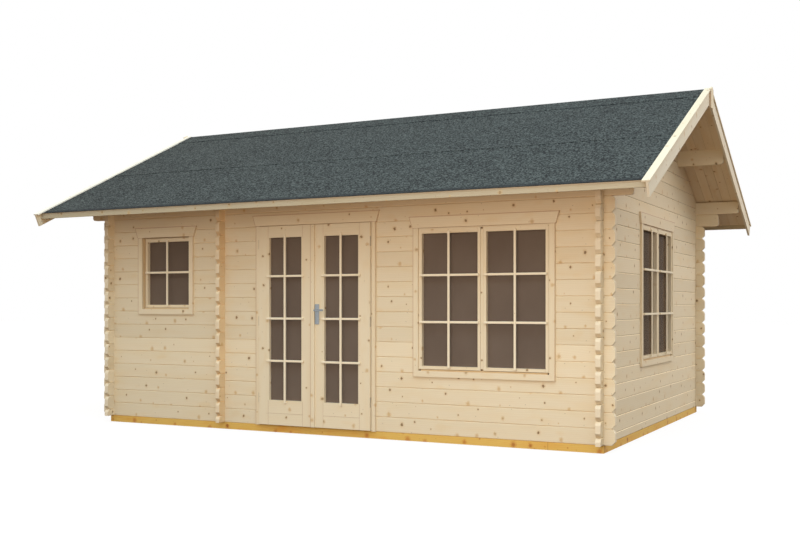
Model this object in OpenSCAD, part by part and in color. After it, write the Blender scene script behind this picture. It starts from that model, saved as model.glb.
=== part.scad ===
// Log cabin with a felted saddle roof, a glazed double door, one small window and two double windows.
// The walls are single logs that cross at notched corners, half a course apart from wall to wall.
// The origin is on the ground under the middle of the roof, the front faces -Y and +Z is up.

/* [Walls] */
// Length of the front wall between the outer faces of the gable walls
wall_len = 5310; // [5200:10:5500]
// Depth of the gable walls between the outer faces of front and back wall
wall_depth = 3796; // [3700:4:3900]
// Height of one log course
course = 137; // [134:1:140]
// Thickness of a wall log
log_t = 45; // [40:1:50]
// How far the log ends stand out past a corner
log_end = 95; // [80:1:130]
// Length of the slanting cuts at a log end, along the log
end_len = 31; // [24:1:34]
// Height of the slanting cuts at a log end
end_rise = 34; // [28:1:36]
// Radius on the ends of the logs that carry the gable overhang
end_round = 30; // [16:1:32]
// Bevel along the edges of a log
log_bevel = 5; // [2:0.5:6]
// Middle of the partition wall
partition_x = -1197; // [-1300:1:-1140]
// Width of the doorway in the partition
partition_door_w = 800; // [700:10:900]

/* [Base] */
// Height of the foundation beams
beam_h = 66; // [45:1:80]
// Width of the foundation beams
beam_w = 70; // [60:1:90]
// Thickness of the floor
floor_t = 19; // [16:1:26]

/* [Roof] */
// Pitch of the roof in degrees
roof_pitch = 25.1; // [24:0.1:27]
// Thickness of the roof boards
roof_t = 18; // [16:1:21]
// Thickness of one layer of felt
felt_t = 4; // [3:0.5:5]
// Overhang of the fascia past the front and back walls
eave_out = 500; // [460:5:540]
// Height of the fascia
fascia_h = 58; // [45:1:70]
// Overhang of the bargeboards past the gable walls
gable_out = 505; // [470:5:540]
// Width of a bargeboard across the slope
barge_w = 120; // [100:1:140]
// Thickness of bargeboards and cover boards
barge_t = 20; // [16:1:24]
// Thickness of the cap strip on the roof edge
cap_t = 12; // [8:1:18]
// Width of the cap strip on the roof edge
cap_w = 65; // [50:1:80]
// How far the cap strip stands out past the bargeboard
cap_out = 12; // [6:1:16]
// Horizontal distance from the ridge to a mid purlin
purlin_y = 902; // [820:2:980]
// Height of a purlin
purlin_h = 160; // [140:1:190]

/* [Door] */
// Middle of the double door along the front wall
door_x = -131; // [-160:1:-100]
// Clear width between the casing boards of the door
door_w = 1236; // [1200:1:1250]
// How far the leaves stand out from the wall
leaf_out = 38; // [32:1:44]
// Thickness of a leaf
leaf_t = 40; // [36:1:42]
// Width of a leaf's glass
leaf_glass_w = 365; // [340:1:380]
// Height of the glass above the bottom of the logs
leaf_glass_z = 245; // [230:1:260]
// Height of the spindle above the bottom of the logs
lever_z = 1110; // [1000:1:1150]

/* [Windows] */
// Middle of the small window along the front wall
small_x = -1915; // [-1940:1:-1880]
// Middle of the front double window along the front wall
wide_x = 1577; // [1540:1:1600]
// Middle of the side double window along the right wall
side_y = -35; // [-60:1:20]
// Width of one sash
sash_w = 594; // [580:1:600]
// Gap over the mullion between two sashes
sash_gap = 27; // [20:1:32]
// Thickness of a sash
sash_t = 44; // [38:1:46]
// Width of a sash's stiles
stile_w = 27; // [22:1:34]

/* [Casing] */
// Width of the casing boards of the windows
casing_w = 52; // [45:1:60]
// Width of the casing boards of the door
door_casing_w = 44; // [38:1:52]
// Thickness of the casing boards
casing_t = 18; // [14:1:20]
// Height of the head boards
head_h = 104; // [90:1:110]

/* [Fits] */
// Gap between pieces that lie on each other
bed = 0.4; // [0.3:0.1:0.6]
// Room at the edges of a leaf
leaf_gap = 7; // [6:0.5:8]

/* [Hidden] */
half_len = wall_len / 2;
half_depth = wall_depth / 2;
base_z = beam_h;
wall_courses = 17;
notch = course / 4;
slope = tan(roof_pitch);
// The top logs are planed down by this much at the outer face of the wall.
plane_off = 5;
// Height of the underside of the roof boards over the outer face of the front wall
eave_z = base_z + wall_courses * course - plane_off;
function under(y) = eave_z + slope * (half_depth - abs(y));
roof_v = roof_t / cos(roof_pitch);
felt_v = felt_t / cos(roof_pitch);
function boards_top(y) = under(y) + bed + roof_v;
function felt_top(y) = boards_top(y) + bed + felt_v;
roof_half = half_len + gable_out - barge_t - bed;
log_over = 470;
short_over = 250;
felt_over = 10;
barge_over = 568;
log_out = half_len + log_over;
short_out = half_len + short_over;
felt_out = half_depth + eave_out + felt_over;
barge_out = half_depth + barge_over;
cap_in = half_len + gable_out + cap_out - cap_w - bed;
apex_h = 208;
apex_half = 60;
apex_t = 18;
// How far the apex cover stands up past the cap strips
apex_rise = 8;
lap_w = 120;
fascia_t = 18;
lap_y = 1360;
ridge_lap_y = 240;
door_half = door_w / 2;
jamb_over = 25;
door_cut_z = 14 * course;
head_z = door_cut_z + 4;
leaf_half = door_half - leaf_gap;
leaf_z0 = 8;
leaf_z1 = head_z - leaf_gap + 1;
// Heights of a leaf's top rail, and of the lower of the two boards in its bottom rail
leaf_rail = 110;
kick_z = 119;
leaf_glass_z1 = leaf_z1 - leaf_rail;
strip_w = 42;
strip_t = 15;
split_x = door_x - strip_w / 2;
split_gap = 6;
knuckle_r = 3;
knuckle_h = 45;
pin_r = 1.5;
flag_t = 2.2;
lever_x = split_x + split_gap / 2 + strip_w + 26;
plate_t = 8;
spindle_r = 8;
wide_half = sash_w + sash_gap / 2;
wide_z = 4 * course;
small_z = 8 * course;
side_z = 4.5 * course;
wide_h = 1250;
small_h = 714;
frame_d = 62;
// Height of a window frame below and above its sashes
sill_h = 38;
// How far the casing reaches below a window's opening
sill_drop = 31;
head_room = 30;
glass_t = 5;
// Depth of the glass behind the face of a sash
glass_in_sash = 38;
rail_top = 40;
rail_low = 28;
// Depth of a sash's face behind the outer face of the wall
wide_face = -9;
small_face = 32;

// An opening in a wall is [left, right, bottom, top], heights above the bottom of the logs.
function opening(middle, half, bottom, height) =
    [middle - half - leaf_gap - jamb_over, middle + half + leaf_gap + jamb_over,
     bottom, bottom + sill_h + height + head_room];
door_opening = [door_x - door_half - jamb_over, door_x + door_half + jamb_over, -1, door_cut_z];
front_openings = [
    door_opening,
    opening(small_x, sash_w / 2, small_z, small_h),
    opening(wide_x, wide_half, wide_z, wide_h)
];
side_openings = [opening(side_y, wide_half, side_z, wide_h)];
partition_openings = [[-partition_door_w / 2, partition_door_w / 2, -1, 14.5 * course]];
front_crossings = [-half_len + log_t / 2, partition_x, half_len - log_t / 2];
side_crossings = [-half_depth + log_t / 2, half_depth - log_t / 2];

spruce = "burlywood";
spruce_shade = "tan";
ochre = "goldenrod";
slate = "darkslategray";
pane = "saddlebrown";
metal = "slategray";

// Points of a quarter round at one corner of a log end, from angle a to a + 90.
function quarter(cx, cz, r, a) = [for (i = [0:6]) [cx + r * cos(a + 15 * i), cz + r * sin(a + 15 * i)]];

// Shape of the upper cut at a log end, from its top to its end face, as shares of length and height
upper_cut = [[1, 0], [0.62, 0.14], [0.3, 0.42], [0, 1]];

// Side view of a log from a0 to a1 and z0 to z1, cut off slanting at both ends: hollowed out between
// two logs, with a straight lower cut and a bulging upper one. The lowest logs have no lower cut.
module log_side(a0, a1, z0, z1, low) {
    n = len(upper_cut) - 1;
    polygon(concat(
        low ? [[a0, z0 + end_rise], [a0 + end_len, z0], [a1 - end_len, z0], [a1, z0 + end_rise]]
            : [[a0, z0], [a1, z0]],
        [for (i = [n : -1 : 0]) [a1 - end_len * upper_cut[i][0], z1 - end_rise * upper_cut[i][1]]],
        [for (i = [0 : n]) [a0 + end_len * upper_cut[i][0], z1 - end_rise * upper_cut[i][1]]]));
}

// Side view of a log from a0 to a1 and z0 to z1, with rounded corners at both ends.
module round_side(a0, a1, z0, z1, r) {
    polygon(concat(
        quarter(a0 + r, z0 + r, r, 180),
        quarter(a1 - r, z0 + r, r, 270),
        quarter(a1 - r, z1 - r, r, 0),
        quarter(a0 + r, z1 - r, r, 90)));
}

// Cross-section of a log with its four edges bevelled.
module log_section(z0, z1) {
    b = log_bevel;
    polygon([[b, z0], [log_t - b, z0], [log_t, z0 + b], [log_t, z1 - b],
        [log_t - b, z1], [b, z1], [0, z1 - b], [0, z0 + b]]);
}

// Notches across a log, cut down from its top and up from its bottom.
module log_notches(crossings, z0, z1, low, high) {
    w = log_t + 2 * bed;
    for (c = crossings) {
        if (low) translate([c - w / 2, z0 - 1]) square([w, notch + bed / 2 + 1]);
        if (high) translate([c - w / 2, z1 - notch - bed / 2]) square([w, notch + bed / 2 + 1]);
    }
}

module opening_cuts(openings) {
    for (o = openings) translate([o[0], o[2]]) square([o[1] - o[0], o[3] - o[2]]);
}

// One log of the front or back wall: course k of the wall with its outer face at y0.
module long_log(k, openings) {
    z0 = k * course + bed / 2;
    z1 = (k + 1) * course - bed / 2;
    top = k == wall_courses - 1;
    out = top ? log_out : k == wall_courses - 2 ? short_out : half_len + log_end;
    intersection() {
        translate([0, log_t, 0]) rotate([90, 0, 0]) linear_extrude(log_t) difference() {
            if (k < wall_courses - 2) log_side(-out, out, z0, z1, true);
            else round_side(-out, out, z0, z1, end_round);
            log_notches(front_crossings, z0, z1, true, !top);
            opening_cuts(openings);
        }
        translate([-out - 1, 0, 0]) rotate([90, 0, 90]) linear_extrude(2 * out + 2) log_section(z0, z1);
    }
}

// A long wall with its outer face on the plane y = 0 and its inside towards +Y.
module long_wall(openings) {
    for (k = [0 : wall_courses - 2]) long_log(k, openings);
    // The top log is planed to the slope of the roof.
    difference() {
        long_log(wall_courses - 1, openings);
        translate([-log_out - 1, 0, wall_courses * course - plane_off - bed]) rotate([roof_pitch, 0, 0])
            translate([0, -course, 0]) cube([2 * log_out + 2, 3 * course, course]);
    }
}

// Outline of the wall under the roof, in the plane of a gable wall.
module gable_outline() {
    r = half_depth + log_end + 10;
    polygon([[-r, 0], [r, 0], [r, under(r) - base_z - bed], [0, under(0) - base_z - bed],
        [-r, under(r) - base_z - bed]]);
}

// Room for the three purlins where they cross a gable wall.
module purlin_sockets() {
    w = log_t + 2 * bed;
    for (y = [-purlin_y - log_t, purlin_y]) translate([y - bed, under(purlin_y) - base_z - purlin_h - bed])
        square([w, 2 * purlin_h]);
    translate([-w / 2, under(0) - base_z - purlin_h - bed]) square([w, 2 * purlin_h]);
}

// One log of a gable wall, half a course lower than course k of the long walls.
module cross_log(k, openings) {
    z0 = max(0, (k - 0.5) * course) + bed / 2;
    z1 = (k + 0.5) * course - bed / 2;
    gable = k > wall_courses - 1;
    out = gable ? half_depth - log_t - bed : half_depth + log_end;
    intersection() {
        rotate([90, 0, 90]) linear_extrude(log_t) difference() {
            intersection() {
                if (gable) translate([-out, z0]) square([2 * out, z1 - z0]);
                else log_side(-out, out, z0, z1, k > 0);
                gable_outline();
            }
            if (!gable) log_notches(side_crossings, z0, z1, k > 0, true);
            opening_cuts(openings);
            purlin_sockets();
        }
        translate([0, out + 1, 0]) rotate([90, 0, 0]) linear_extrude(2 * out + 2) log_section(z0, z1);
    }
}

// A gable wall on the plane x = 0, with its thickness towards +X.
module cross_wall(openings) {
    top = ceil((under(0) - base_z) / course - 0.5);
    for (k = [0 : top - 1]) cross_log(k, openings);
}

module front_wall() {
    color(spruce) translate([0, -half_depth, base_z]) long_wall(front_openings);
}

module back_wall() {
    color(spruce) mirror([0, 1, 0]) translate([0, -half_depth, base_z]) long_wall([]);
}

module left_wall() {
    color(spruce_shade) translate([-half_len, 0, base_z]) cross_wall([]);
}

module right_wall() {
    color(spruce_shade) translate([half_len - log_t, 0, base_z]) cross_wall(side_openings);
}

module partition_wall() {
    color(spruce_shade) translate([partition_x - log_t / 2, 0, base_z]) cross_wall(partition_openings);
}

module foundation_beams() {
    color(ochre) {
        for (y = [-half_depth, half_depth - beam_w]) translate([-half_len, y, 0])
            cube([wall_len, beam_w, beam_h - bed]);
        for (x = [-half_len, partition_x - beam_w / 2, half_len - beam_w])
            translate([x, -half_depth + beam_w + bed, 0])
                cube([beam_w, wall_depth - 2 * beam_w - 2 * bed, beam_h - bed]);
    }
}

// Inner sides of the two rooms along X.
room_x = [[-half_len + log_t, partition_x - log_t / 2], [partition_x + log_t / 2, half_len - log_t]];
bearer_w = 45;
bearer_rows = 5;

module floor_bearers() {
    x_gap = beam_w - log_t + bed;
    clear = wall_depth - 2 * beam_w;
    color(ochre) for (i = [0 : 1], j = [1 : bearer_rows]) {
        x0 = room_x[i][0] + (i == 0 ? x_gap : (beam_w - log_t) / 2 + bed);
        x1 = room_x[i][1] - (i == 0 ? (beam_w - log_t) / 2 + bed : x_gap);
        translate([x0, -clear / 2 + j * clear / (bearer_rows + 1) - bearer_w / 2, 0])
            cube([x1 - x0, bearer_w, beam_h - bed]);
    }
}

module floor_boards() {
    edge = 1 * bed;
    color(spruce) for (r = room_x)
        translate([r[0] + edge, -half_depth + frame_d + bed, base_z])
            cube([r[1] - r[0] - 2 * edge, wall_depth - 2 * frame_d - 2 * bed, floor_t]);
}

// A bar along X with a given section in the plane of a gable.
module roof_bar(x0, x1) {
    translate([x0, 0, 0]) rotate([90, 0, 90]) linear_extrude(x1 - x0) children();
}

// Side view that rounds the lower corners at both ends of a purlin.
module purlin_side(z0) {
    r = 40;
    polygon(concat(
        quarter(-log_out + r, z0 + r, r, 180),
        quarter(log_out - r, z0 + r, r, 270),
        [[log_out, z0 + 2 * purlin_h], [-log_out, z0 + 2 * purlin_h]]));
}

module purlin(y, z0) {
    intersection() {
        roof_bar(-log_out, log_out) children();
        translate([0, y + log_t + 1, 0]) rotate([90, 0, 0]) linear_extrude(log_t + 2) purlin_side(z0);
    }
}

module ridge_purlin() {
    w = log_t / 2;
    z0 = under(0) - purlin_h;
    color(spruce) purlin(-w, z0)
        polygon([[-w, z0], [w, z0], [w, under(w) - bed], [0, under(0) - bed], [-w, under(w) - bed]]);
}

module back_purlin() {
    y0 = purlin_y;
    y1 = purlin_y + log_t;
    z0 = under(y0) - purlin_h;
    color(spruce) purlin(y0, z0)
        polygon([[y0, z0], [y1, z0], [y1, under(y1) - bed], [y0, under(y0) - bed]]);
}

module front_purlin() {
    mirror([0, 1, 0]) back_purlin();
}

// The half of the roof towards +Y is drawn, and the front half is its mirror image.
module roof_boards() {
    y0 = bed;
    y1 = half_depth + eave_out - fascia_t - bed;
    roof_bar(-roof_half, roof_half)
        polygon([[y0, under(y0)], [y1, under(y1)], [y1, under(y1) + roof_v], [y0, under(y0) + roof_v]]);
}

module front_roof_boards() {
    color(spruce_shade) mirror([0, 1, 0]) roof_boards();
}

module back_roof_boards() {
    color(spruce_shade) roof_boards();
}

// Two strips of felt on a slope: the upper one laps over the edge of the lower one.
// The cap strips press the lap flat.
module felt_strips() {
    roof_bar(-roof_half, roof_half) {
        polygon([[lap_y + bed, boards_top(lap_y + bed)], [felt_out, boards_top(felt_out)],
            [felt_out, felt_top(felt_out)], [lap_y + bed, felt_top(lap_y + bed)]]);
        polygon([[bed, boards_top(bed)], [lap_y, boards_top(lap_y)], [lap_y, felt_top(lap_y)],
            [bed, felt_top(bed)]]);
    }
    roof_bar(-cap_in, cap_in)
        polygon([[lap_y - lap_w, boards_top(lap_y - lap_w) + bed], [lap_y, boards_top(lap_y) + bed],
            [lap_y, felt_top(lap_y) + felt_v], [lap_y - lap_w, felt_top(lap_y - lap_w)]]);
}

module front_felt() {
    color(slate) mirror([0, 1, 0]) felt_strips();
}

module back_felt() {
    color(slate) felt_strips();
}

module ridge_felt() {
    r = ridge_lap_y;
    color(slate) roof_bar(-cap_in, cap_in)
        polygon([[-r, felt_top(r) + bed], [0, felt_top(0) + bed], [r, felt_top(r) + bed],
            [r, felt_top(r) + bed + felt_v], [0, felt_top(0) + bed + felt_v],
            [-r, felt_top(r) + bed + felt_v]]);
}

module fascia() {
    y1 = half_depth + eave_out;
    y0 = y1 - fascia_t;
    top = boards_top(y1) - bed;
    roof_bar(-roof_half, roof_half)
        polygon([[y0, top - fascia_h], [y1, top - fascia_h], [y1, top], [y0, top + slope * fascia_t]]);
}

module fascia_boards() {
    color(spruce) for (m = [0, 1]) mirror([0, m, 0]) fascia();
}

// A board along the slope, in the plane of a gable: from low to high across the slope,
// with a plumb cut at the ridge and a square cut at the eave.
module slope_board(low, high) {
    y1 = barge_out;
    c = cos(roof_pitch);
    s = sin(roof_pitch);
    top = felt_top(0);
    polygon([[bed, top - slope * bed + low / c], [y1 + s * low, felt_top(y1) + c * low],
        [y1 + s * high, felt_top(y1) + c * high], [bed, top - slope * bed + high / c]]);
}

module bargeboard_pair() {
    for (m = [0, 1]) mirror([m, 0, 0]) slope_board(-barge_w, 0);
}

module left_bargeboards() {
    x = half_len + gable_out;
    color(spruce) roof_bar(-x, -x + barge_t) bargeboard_pair();
}

module right_bargeboards() {
    x = half_len + gable_out;
    color(spruce) roof_bar(x - barge_t, x) bargeboard_pair();
}

// Cap strips over the bargeboards and the edge of the felt, cut out at the ridge for the apex covers.
module cap_strips() {
    x = half_len + gable_out;
    w = apex_half + bed;
    color(spruce) for (m = [0, 1]) mirror([m, 0, 0]) difference() {
        roof_bar(x + cap_out - cap_w, x + cap_out)
            for (n = [0, 1]) mirror([n, 0, 0]) slope_board(bed, bed + cap_t);
        translate([x, -w, felt_top(0) - apex_h]) cube([2 * cap_out, 2 * w, 2 * apex_h]);
    }
}

module apex_covers() {
    w = apex_half;
    x = half_len + gable_out + bed;
    z1 = felt_top(0) + cap_t / cos(roof_pitch) + apex_rise;
    color(spruce) for (m = [0, 1]) mirror([m, 0, 0]) roof_bar(x, x + apex_t)
        polygon([[-w, z1 - apex_h], [w, z1 - apex_h], [w, z1 - slope * w], [0, z1], [-w, z1 - slope * w]]);
}

// The pieces of a wall's openings are drawn with the wall's outer face on y = 0 and its inside
// towards +Y, and these two modules bring them to their walls.
module on_front() {
    translate([0, -half_depth, base_z]) children();
}

module on_right() {
    translate([half_len, 0, base_z]) rotate([0, 0, 90]) children();
}

// Casing boards round an opening: two side boards, a head with slanting ends and an optional sill board.
module casing(half, w, z0, z1, sill) {
    outer = half + w;
    for (m = [0, 1]) mirror([m, 0, 0])
        translate([half, -casing_t - bed, z0]) cube([w, casing_t, z1 - z0 - bed]);
    translate([0, -bed, 0]) rotate([90, 0, 0]) linear_extrude(casing_t)
        polygon([[-outer - 8, z1], [outer + 8, z1], [outer + 40, z1 + head_h], [-outer - 40, z1 + head_h]]);
    if (sill > 0) translate([-half + bed, -casing_t - bed, z0]) cube([2 * half - 2 * bed, casing_t, sill]);
}

// Depth of a window frame: it holds the sash and a rebate behind it.
function frame_depth(face) = max(frame_d, face + sash_t + 14);

// Rebated frame of a window: two jambs with the head and the sill between them, and a mullion
// where there are two sashes. The sashes lie in its wider front part.
module window_frame(half, z0, h, face, mullion) {
    cut = half + leaf_gap + jamb_over - bed;
    wide = half + 4;
    inner = half - 12;
    rebate = face + sash_t + bed;
    deep = frame_depth(face);
    top = z0 + sill_h + h + head_room - bed;
    sash_top = z0 + sill_h + h;
    for (m = [0, 1]) mirror([m, 0, 0]) translate([0, 0, z0 + bed]) linear_extrude(top - z0 - bed)
        polygon([[wide, bed], [cut, bed], [cut, deep], [inner, deep], [inner, rebate], [wide, rebate]]);
    translate([-inner + bed, 0, 0]) rotate([90, 0, 90]) linear_extrude(2 * inner - 2 * bed) {
        polygon([[bed, sash_top + 4], [rebate, sash_top + 4], [rebate, sash_top - 12], [deep, sash_top - 12],
            [deep, top], [bed, top]]);
        polygon([[bed, z0 + bed], [deep, z0 + bed], [deep, z0 + sill_h + 12], [rebate, z0 + sill_h + 12],
            [rebate, z0 + sill_h - 4], [bed, z0 + sill_h - 4]]);
    }
    if (mullion) {
        thin = sash_gap / 2 - 3;
        thick = sash_gap / 2 + 12;
        z1 = z0 + sill_h + 12 + bed;
        translate([0, 0, z1]) linear_extrude(sash_top - 12 - bed - z1)
            polygon([[-thin, face + 12], [thin, face + 12], [thin, rebate], [thick, rebate], [thick, deep],
                [-thick, deep], [-thick, rebate], [-thin, rebate]]);
    }
}

// One sash: two stiles with the rails between them.
module sash(x0, z0, h, face) {
    for (x = [x0, x0 + sash_w - stile_w]) translate([x, face, z0]) cube([stile_w, sash_t, h]);
    w = sash_w - 2 * stile_w - 2 * bed;
    translate([x0 + stile_w + bed, face, z0]) cube([w, sash_t, rail_low]);
    translate([x0 + stile_w + bed, face, z0 + h - rail_top]) cube([w, sash_t, rail_top]);
}

module sash_glass(x0, z0, h, face) {
    translate([x0 + stile_w + bed, face + glass_in_sash, z0 + rail_low + bed])
        cube([sash_w - 2 * stile_w - 2 * bed, glass_t, h - rail_low - rail_top - 2 * bed]);
}

module wide_casing(z0) {
    color(spruce) casing(wide_half + leaf_gap, casing_w, z0 - sill_drop, z0 + sill_h + wide_h + 10, casing_w);
}

module wide_frame(z0) {
    color(spruce) window_frame(wide_half, z0, wide_h, wide_face, true);
}

module wide_sashes(z0) {
    color(spruce) for (x = [-wide_half, sash_gap / 2]) sash(x, z0 + sill_h, wide_h, wide_face);
}

module wide_glass(z0) {
    color(pane) for (x = [-wide_half, sash_gap / 2]) sash_glass(x, z0 + sill_h, wide_h, wide_face);
}

module small_window_casing() {
    color(spruce) on_front() translate([small_x, 0, 0])
        casing(sash_w / 2 + leaf_gap, casing_w, small_z - sill_drop,
               small_z + sill_h + small_h + 4, casing_w);
}

module small_window_frame() {
    color(spruce) on_front() translate([small_x, 0, 0])
        window_frame(sash_w / 2, small_z, small_h, small_face, false);
}

module small_window_sash() {
    color(spruce) on_front() translate([small_x, 0, 0])
        sash(-sash_w / 2, small_z + sill_h, small_h, small_face);
}

module small_window_glass() {
    color(pane) on_front() translate([small_x, 0, 0])
        sash_glass(-sash_w / 2, small_z + sill_h, small_h, small_face);
}

module front_window_casing() {
    on_front() translate([wide_x, 0, 0]) wide_casing(wide_z);
}

module front_window_frame() {
    on_front() translate([wide_x, 0, 0]) wide_frame(wide_z);
}

module front_window_sashes() {
    on_front() translate([wide_x, 0, 0]) wide_sashes(wide_z);
}

module front_window_glass() {
    on_front() translate([wide_x, 0, 0]) wide_glass(wide_z);
}

module side_window_casing() {
    on_right() translate([side_y, 0, 0]) wide_casing(side_z);
}

module side_window_frame() {
    on_right() translate([side_y, 0, 0]) wide_frame(side_z);
}

module side_window_sashes() {
    on_right() translate([side_y, 0, 0]) wide_sashes(side_z);
}

module side_window_glass() {
    on_right() translate([side_y, 0, 0]) wide_glass(side_z);
}

module door_casing() {
    color(spruce) on_front() translate([door_x, 0, 0]) casing(door_half, door_casing_w, 0, head_z, 0);
}

// Frame of the double door: two jambs, the head and the threshold, behind the leaves.
module door_frame() {
    inner = door_half - 30;
    outer = door_half + jamb_over - bed;
    y0 = leaf_t - leaf_out + 5;
    color(spruce) on_front() translate([door_x, 0, 0]) {
        for (m = [0, 1]) mirror([m, 0, 0]) linear_extrude(door_cut_z - bed)
            polygon([[inner, y0], [door_half, y0], [door_half, bed],
                     [outer, bed], [outer, frame_d], [inner, frame_d]]);
        translate([-inner + bed, y0, door_cut_z - 36]) cube([2 * inner - 2 * bed, frame_d - y0, 36 - bed]);
        translate([-inner + bed, y0, 0]) cube([2 * inner - 2 * bed, frame_d - y0, 34]);
    }
}

// Hinge axis of a leaf: side is -1 for the left leaf and 1 for the right one.
function hinge_x(side) = door_x + side * (leaf_half + leaf_gap / 2);
hinge_y = -leaf_out + knuckle_r + 0.5;
hinge_z = [220, 960, 1700];

// Puts a hinge half at each of a leaf's three hinges, drawn with the casing towards +X.
module at_hinges(side) {
    for (z = hinge_z) translate([hinge_x(side), hinge_y, z]) mirror([side < 0 ? 1 : 0, 0, 0]) children();
}

// Lower half of a lift-off hinge: a knuckle with its pin and a flag on the edge of the casing.
module hinge_pin() {
    cylinder(r = knuckle_r, h = knuckle_h, $fn = 32);
    cylinder(r = pin_r, h = 2 * knuckle_h - 2, $fn = 32);
    translate([leaf_gap / 2 - bed - flag_t, 0, 0]) cube([flag_t, 30, knuckle_h]);
}

// Upper half of a lift-off hinge: a knuckle with its bore and a flag on the edge of the leaf.
module hinge_flag() {
    translate([0, 0, knuckle_h + 0.5]) difference() {
        union() {
            cylinder(r = knuckle_r, h = knuckle_h, $fn = 32);
            translate([bed - leaf_gap / 2, 0, 0]) cube([flag_t, 30, knuckle_h]);
        }
        translate([0, 0, -1]) cylinder(r = pin_r + 0.2, h = knuckle_h, $fn = 32);
    }
}

module door_hinge_pins() {
    color(metal) on_front() for (side = [-1, 1]) at_hinges(side) hinge_pin();
}

module left_hinge_flags() {
    color(metal) on_front() at_hinges(-1) hinge_flag();
}

module right_hinge_flags() {
    color(metal) on_front() at_hinges(1) hinge_flag();
}

// A glazed leaf from x0 to x1 with the left edge of its glass at g0.
module leaf(x0, x1, g0) {
    bead = 13;
    s0 = g0 - bead;
    s1 = g0 + leaf_glass_w + bead;
    y0 = -leaf_out;
    translate([x0, y0, leaf_z0]) cube([s0 - x0, leaf_t, leaf_z1 - leaf_z0]);
    translate([s1, y0, leaf_z0]) cube([x1 - s1, leaf_t, leaf_z1 - leaf_z0]);
    for (z = [[leaf_z0, kick_z], [kick_z + bed, leaf_glass_z], [leaf_glass_z1, leaf_z1]])
        translate([s0 + bed, y0, z[0]]) cube([s1 - s0 - 2 * bed, leaf_t, z[1] - z[0]]);
    for (x = [s0 + bed, s1 - bead]) translate([x, y0, leaf_glass_z + bed])
        cube([bead - bed, leaf_t, leaf_glass_z1 - leaf_glass_z - 2 * bed]);
}

module leaf_glass(g0) {
    translate([g0 + bed, -leaf_out + 30, leaf_glass_z + bed])
        cube([leaf_glass_w - 2 * bed, glass_t, leaf_glass_z1 - leaf_glass_z - 2 * bed]);
}

glass_in = 126;

module left_door_leaf() {
    color(spruce) on_front()
        leaf(door_x - leaf_half, split_x - split_gap / 2, door_x - glass_in - leaf_glass_w);
}

module left_door_glass() {
    color(pane) on_front() leaf_glass(door_x - glass_in - leaf_glass_w);
}

module right_door_leaf() {
    color(spruce) on_front() difference() {
        leaf(split_x + split_gap / 2, door_x + leaf_half, door_x + glass_in);
        translate([lever_x, 10, lever_z]) rotate([90, 0, 0]) cylinder(r = spindle_r + 0.5, h = 60, $fn = 48);
    }
}

module right_door_glass() {
    color(pane) on_front() leaf_glass(door_x + glass_in);
}

module door_cover_strip() {
    color(spruce) on_front() translate([split_x + split_gap / 2, -leaf_out - strip_t - bed, leaf_z0])
        cube([strip_w, strip_t, leaf_z1 - leaf_z0]);
}

// Long plates of the lock on both faces of the leaf, with a bore for the spindle.
module lock_plates() {
    w = 44;
    h = 190;
    below = 133;
    color(metal) on_front() for (y = [-leaf_out - plate_t - bed, leaf_t - leaf_out + bed]) difference() {
        translate([lever_x - w / 2, y, lever_z - below]) cube([w, plate_t, h]);
        translate([lever_x, y + plate_t + 1, lever_z]) rotate([90, 0, 0])
            cylinder(r = spindle_r + 0.3, h = plate_t + 2, $fn = 48);
    }
}

// Spindle through the leaf with a lever at each end.
module lever_handle() {
    arm = 92;
    r = 9;
    reach = 52;
    y0 = -leaf_out - plate_t - reach;
    y1 = leaf_t - leaf_out + plate_t + reach;
    color(metal) on_front() translate([lever_x, 0, lever_z]) {
        translate([0, y1, 0]) rotate([90, 0, 0]) cylinder(r = spindle_r, h = y1 - y0, $fn = 48);
        for (y = [y0 + r, y1 - r])
            translate([-r, y, 0]) rotate([0, 90, 0]) cylinder(r = r, h = arm + r, $fn = 32);
    }
}

foundation_beams();
floor_bearers();
floor_boards();
front_wall();
back_wall();
left_wall();
right_wall();
partition_wall();
ridge_purlin();
front_purlin();
back_purlin();
front_roof_boards();
back_roof_boards();
front_felt();
back_felt();
ridge_felt();
fascia_boards();
left_bargeboards();
right_bargeboards();
cap_strips();
apex_covers();
door_frame();
door_casing();
door_hinge_pins();
left_door_leaf();
left_door_glass();
left_hinge_flags();
right_door_leaf();
right_door_glass();
right_hinge_flags();
door_cover_strip();
lock_plates();
lever_handle();
small_window_casing();
small_window_frame();
small_window_sash();
small_window_glass();
front_window_casing();
front_window_frame();
front_window_sashes();
front_window_glass();
side_window_casing();
side_window_frame();
side_window_sashes();
side_window_glass();
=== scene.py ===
"""Looks of a log cabin: camera, studio, finishes, and the boards, bars and fittings that its solids leave plain."""

import logging
import math
from collections.abc import Callable
from dataclasses import dataclass, field, replace
from enum import Enum

import bmesh
import bpy
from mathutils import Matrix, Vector


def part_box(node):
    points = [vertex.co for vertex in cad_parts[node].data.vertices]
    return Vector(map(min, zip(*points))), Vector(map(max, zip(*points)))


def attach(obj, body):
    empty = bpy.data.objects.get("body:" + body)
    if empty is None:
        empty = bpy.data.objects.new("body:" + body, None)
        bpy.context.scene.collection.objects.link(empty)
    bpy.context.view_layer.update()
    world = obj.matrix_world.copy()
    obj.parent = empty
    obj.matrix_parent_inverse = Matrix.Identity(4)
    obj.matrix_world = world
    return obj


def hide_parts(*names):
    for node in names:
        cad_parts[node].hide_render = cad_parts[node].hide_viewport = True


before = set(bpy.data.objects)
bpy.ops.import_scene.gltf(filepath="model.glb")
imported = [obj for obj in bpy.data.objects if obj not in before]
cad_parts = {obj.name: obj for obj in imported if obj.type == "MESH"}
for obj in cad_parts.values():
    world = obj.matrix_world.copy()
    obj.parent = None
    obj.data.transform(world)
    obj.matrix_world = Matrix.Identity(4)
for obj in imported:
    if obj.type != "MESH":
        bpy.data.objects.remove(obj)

LOG = logging.getLogger("cabin")

Colour = tuple[float, float, float, float]
Point = tuple[float, float, float]

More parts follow.
